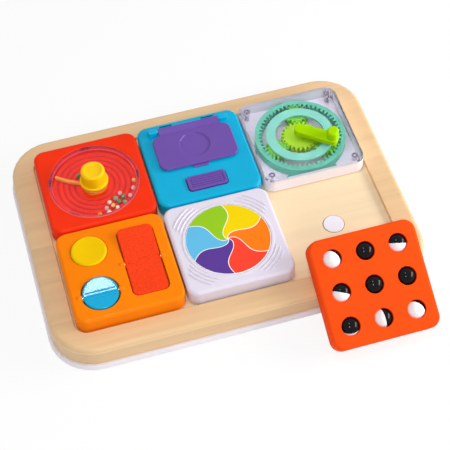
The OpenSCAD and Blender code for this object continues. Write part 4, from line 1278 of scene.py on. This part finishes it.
def makeFloor():
    floorMesh = bmesh.new()
    ring = addRing(floorMesh, platePath(*studio["floor"], (0, 0)), -studio["floorDrop"])
    fillFlat(floorMesh, [ring])
    data = bpy.data.meshes.new("studioFloor")
    floorMesh.to_mesh(data)
    floorMesh.free()
    floor = bpy.data.objects.new("studioFloor", data)
    scene.collection.objects.link(floor)
    finish, tree, surface = startFinish(
        "studioPaper", Base_Color=studio["floorColour"], Roughness=0.9)[:3]
    glow = tree.nodes.new("ShaderNodeEmission")
    glow.inputs["Strength"].default_value = 1.0
    share = addMath(tree, "MULTIPLY", whiteToCamera(tree), studio["glow"])
    mixed = tree.nodes.new("ShaderNodeMixShader")
    tree.links.new(share, mixed.inputs["Fac"])
    tree.links.new(surface.outputs["BSDF"], mixed.inputs[1])
    tree.links.new(glow.outputs["Emission"], mixed.inputs[2])
    tree.links.new(mixed.outputs["Shader"], tree.nodes["Material Output"].inputs["Surface"])
    data.materials.append(finish)


def makeLamps():
    for name, place, aim, width, depth, watts in studio["lamps"]:
        lamp = bpy.data.lights.new(name, "AREA")
        lamp.shape = "RECTANGLE"
        lamp.size = width
        lamp.size_y = depth
        lamp.energy = watts
        holder = bpy.data.objects.new(name, lamp)
        holder.location = place
        holder.rotation_euler = (Vector(place) - Vector(aim)).to_track_quat("Z", "Y").to_euler()
        scene.collection.objects.link(holder)


def makeCamera():
    turn, lift, roll = (radians(view[key]) for key in ("azimuth", "elevation", "roll"))
    back = Vector((sin(turn) * cos(lift), -cos(turn) * cos(lift), sin(lift)))
    right = (-back).cross(Vector((0, 0, 1))).normalized()
    up = right.cross(-back)
    tiltRight = cos(roll) * right + sin(roll) * up
    tiltUp = cos(roll) * up - sin(roll) * right
    lens = bpy.data.cameras.new("photoCamera")
    lens.sensor_fit = "HORIZONTAL"
    lens.sensor_width = view["sensor"]
    lens.lens = view["focal"] / view["pictureWidth"] * view["sensor"]
    camera = bpy.data.objects.new("photoCamera", lens)
    pose = Matrix((tiltRight, tiltUp, back)).transposed().to_4x4()
    pose.translation = Vector(view["target"]) + back * view["distance"]
    camera.matrix_world = pose
    scene.collection.objects.link(camera)
    scene.camera = camera


def makeStudio():
    makeWorld()
    makeFloor()
    makeLamps()
    makeCamera()
    print("studio made")


magnetGrey = metalFinish("magnetGrey", tint(96, 96, 100), 0.42)
screwZinc = metalFinish("screwZinc", tint(190, 190, 194), 0.3)
pinSteel = metalFinish("pinSteel", tint(205, 205, 210), 0.24)
makeStudio()
makeTray()
makeBeadTile()
makeFlipTile()
makeGearTile()
makeSwitchTile()
makeWheelTile()
makeBallTile()
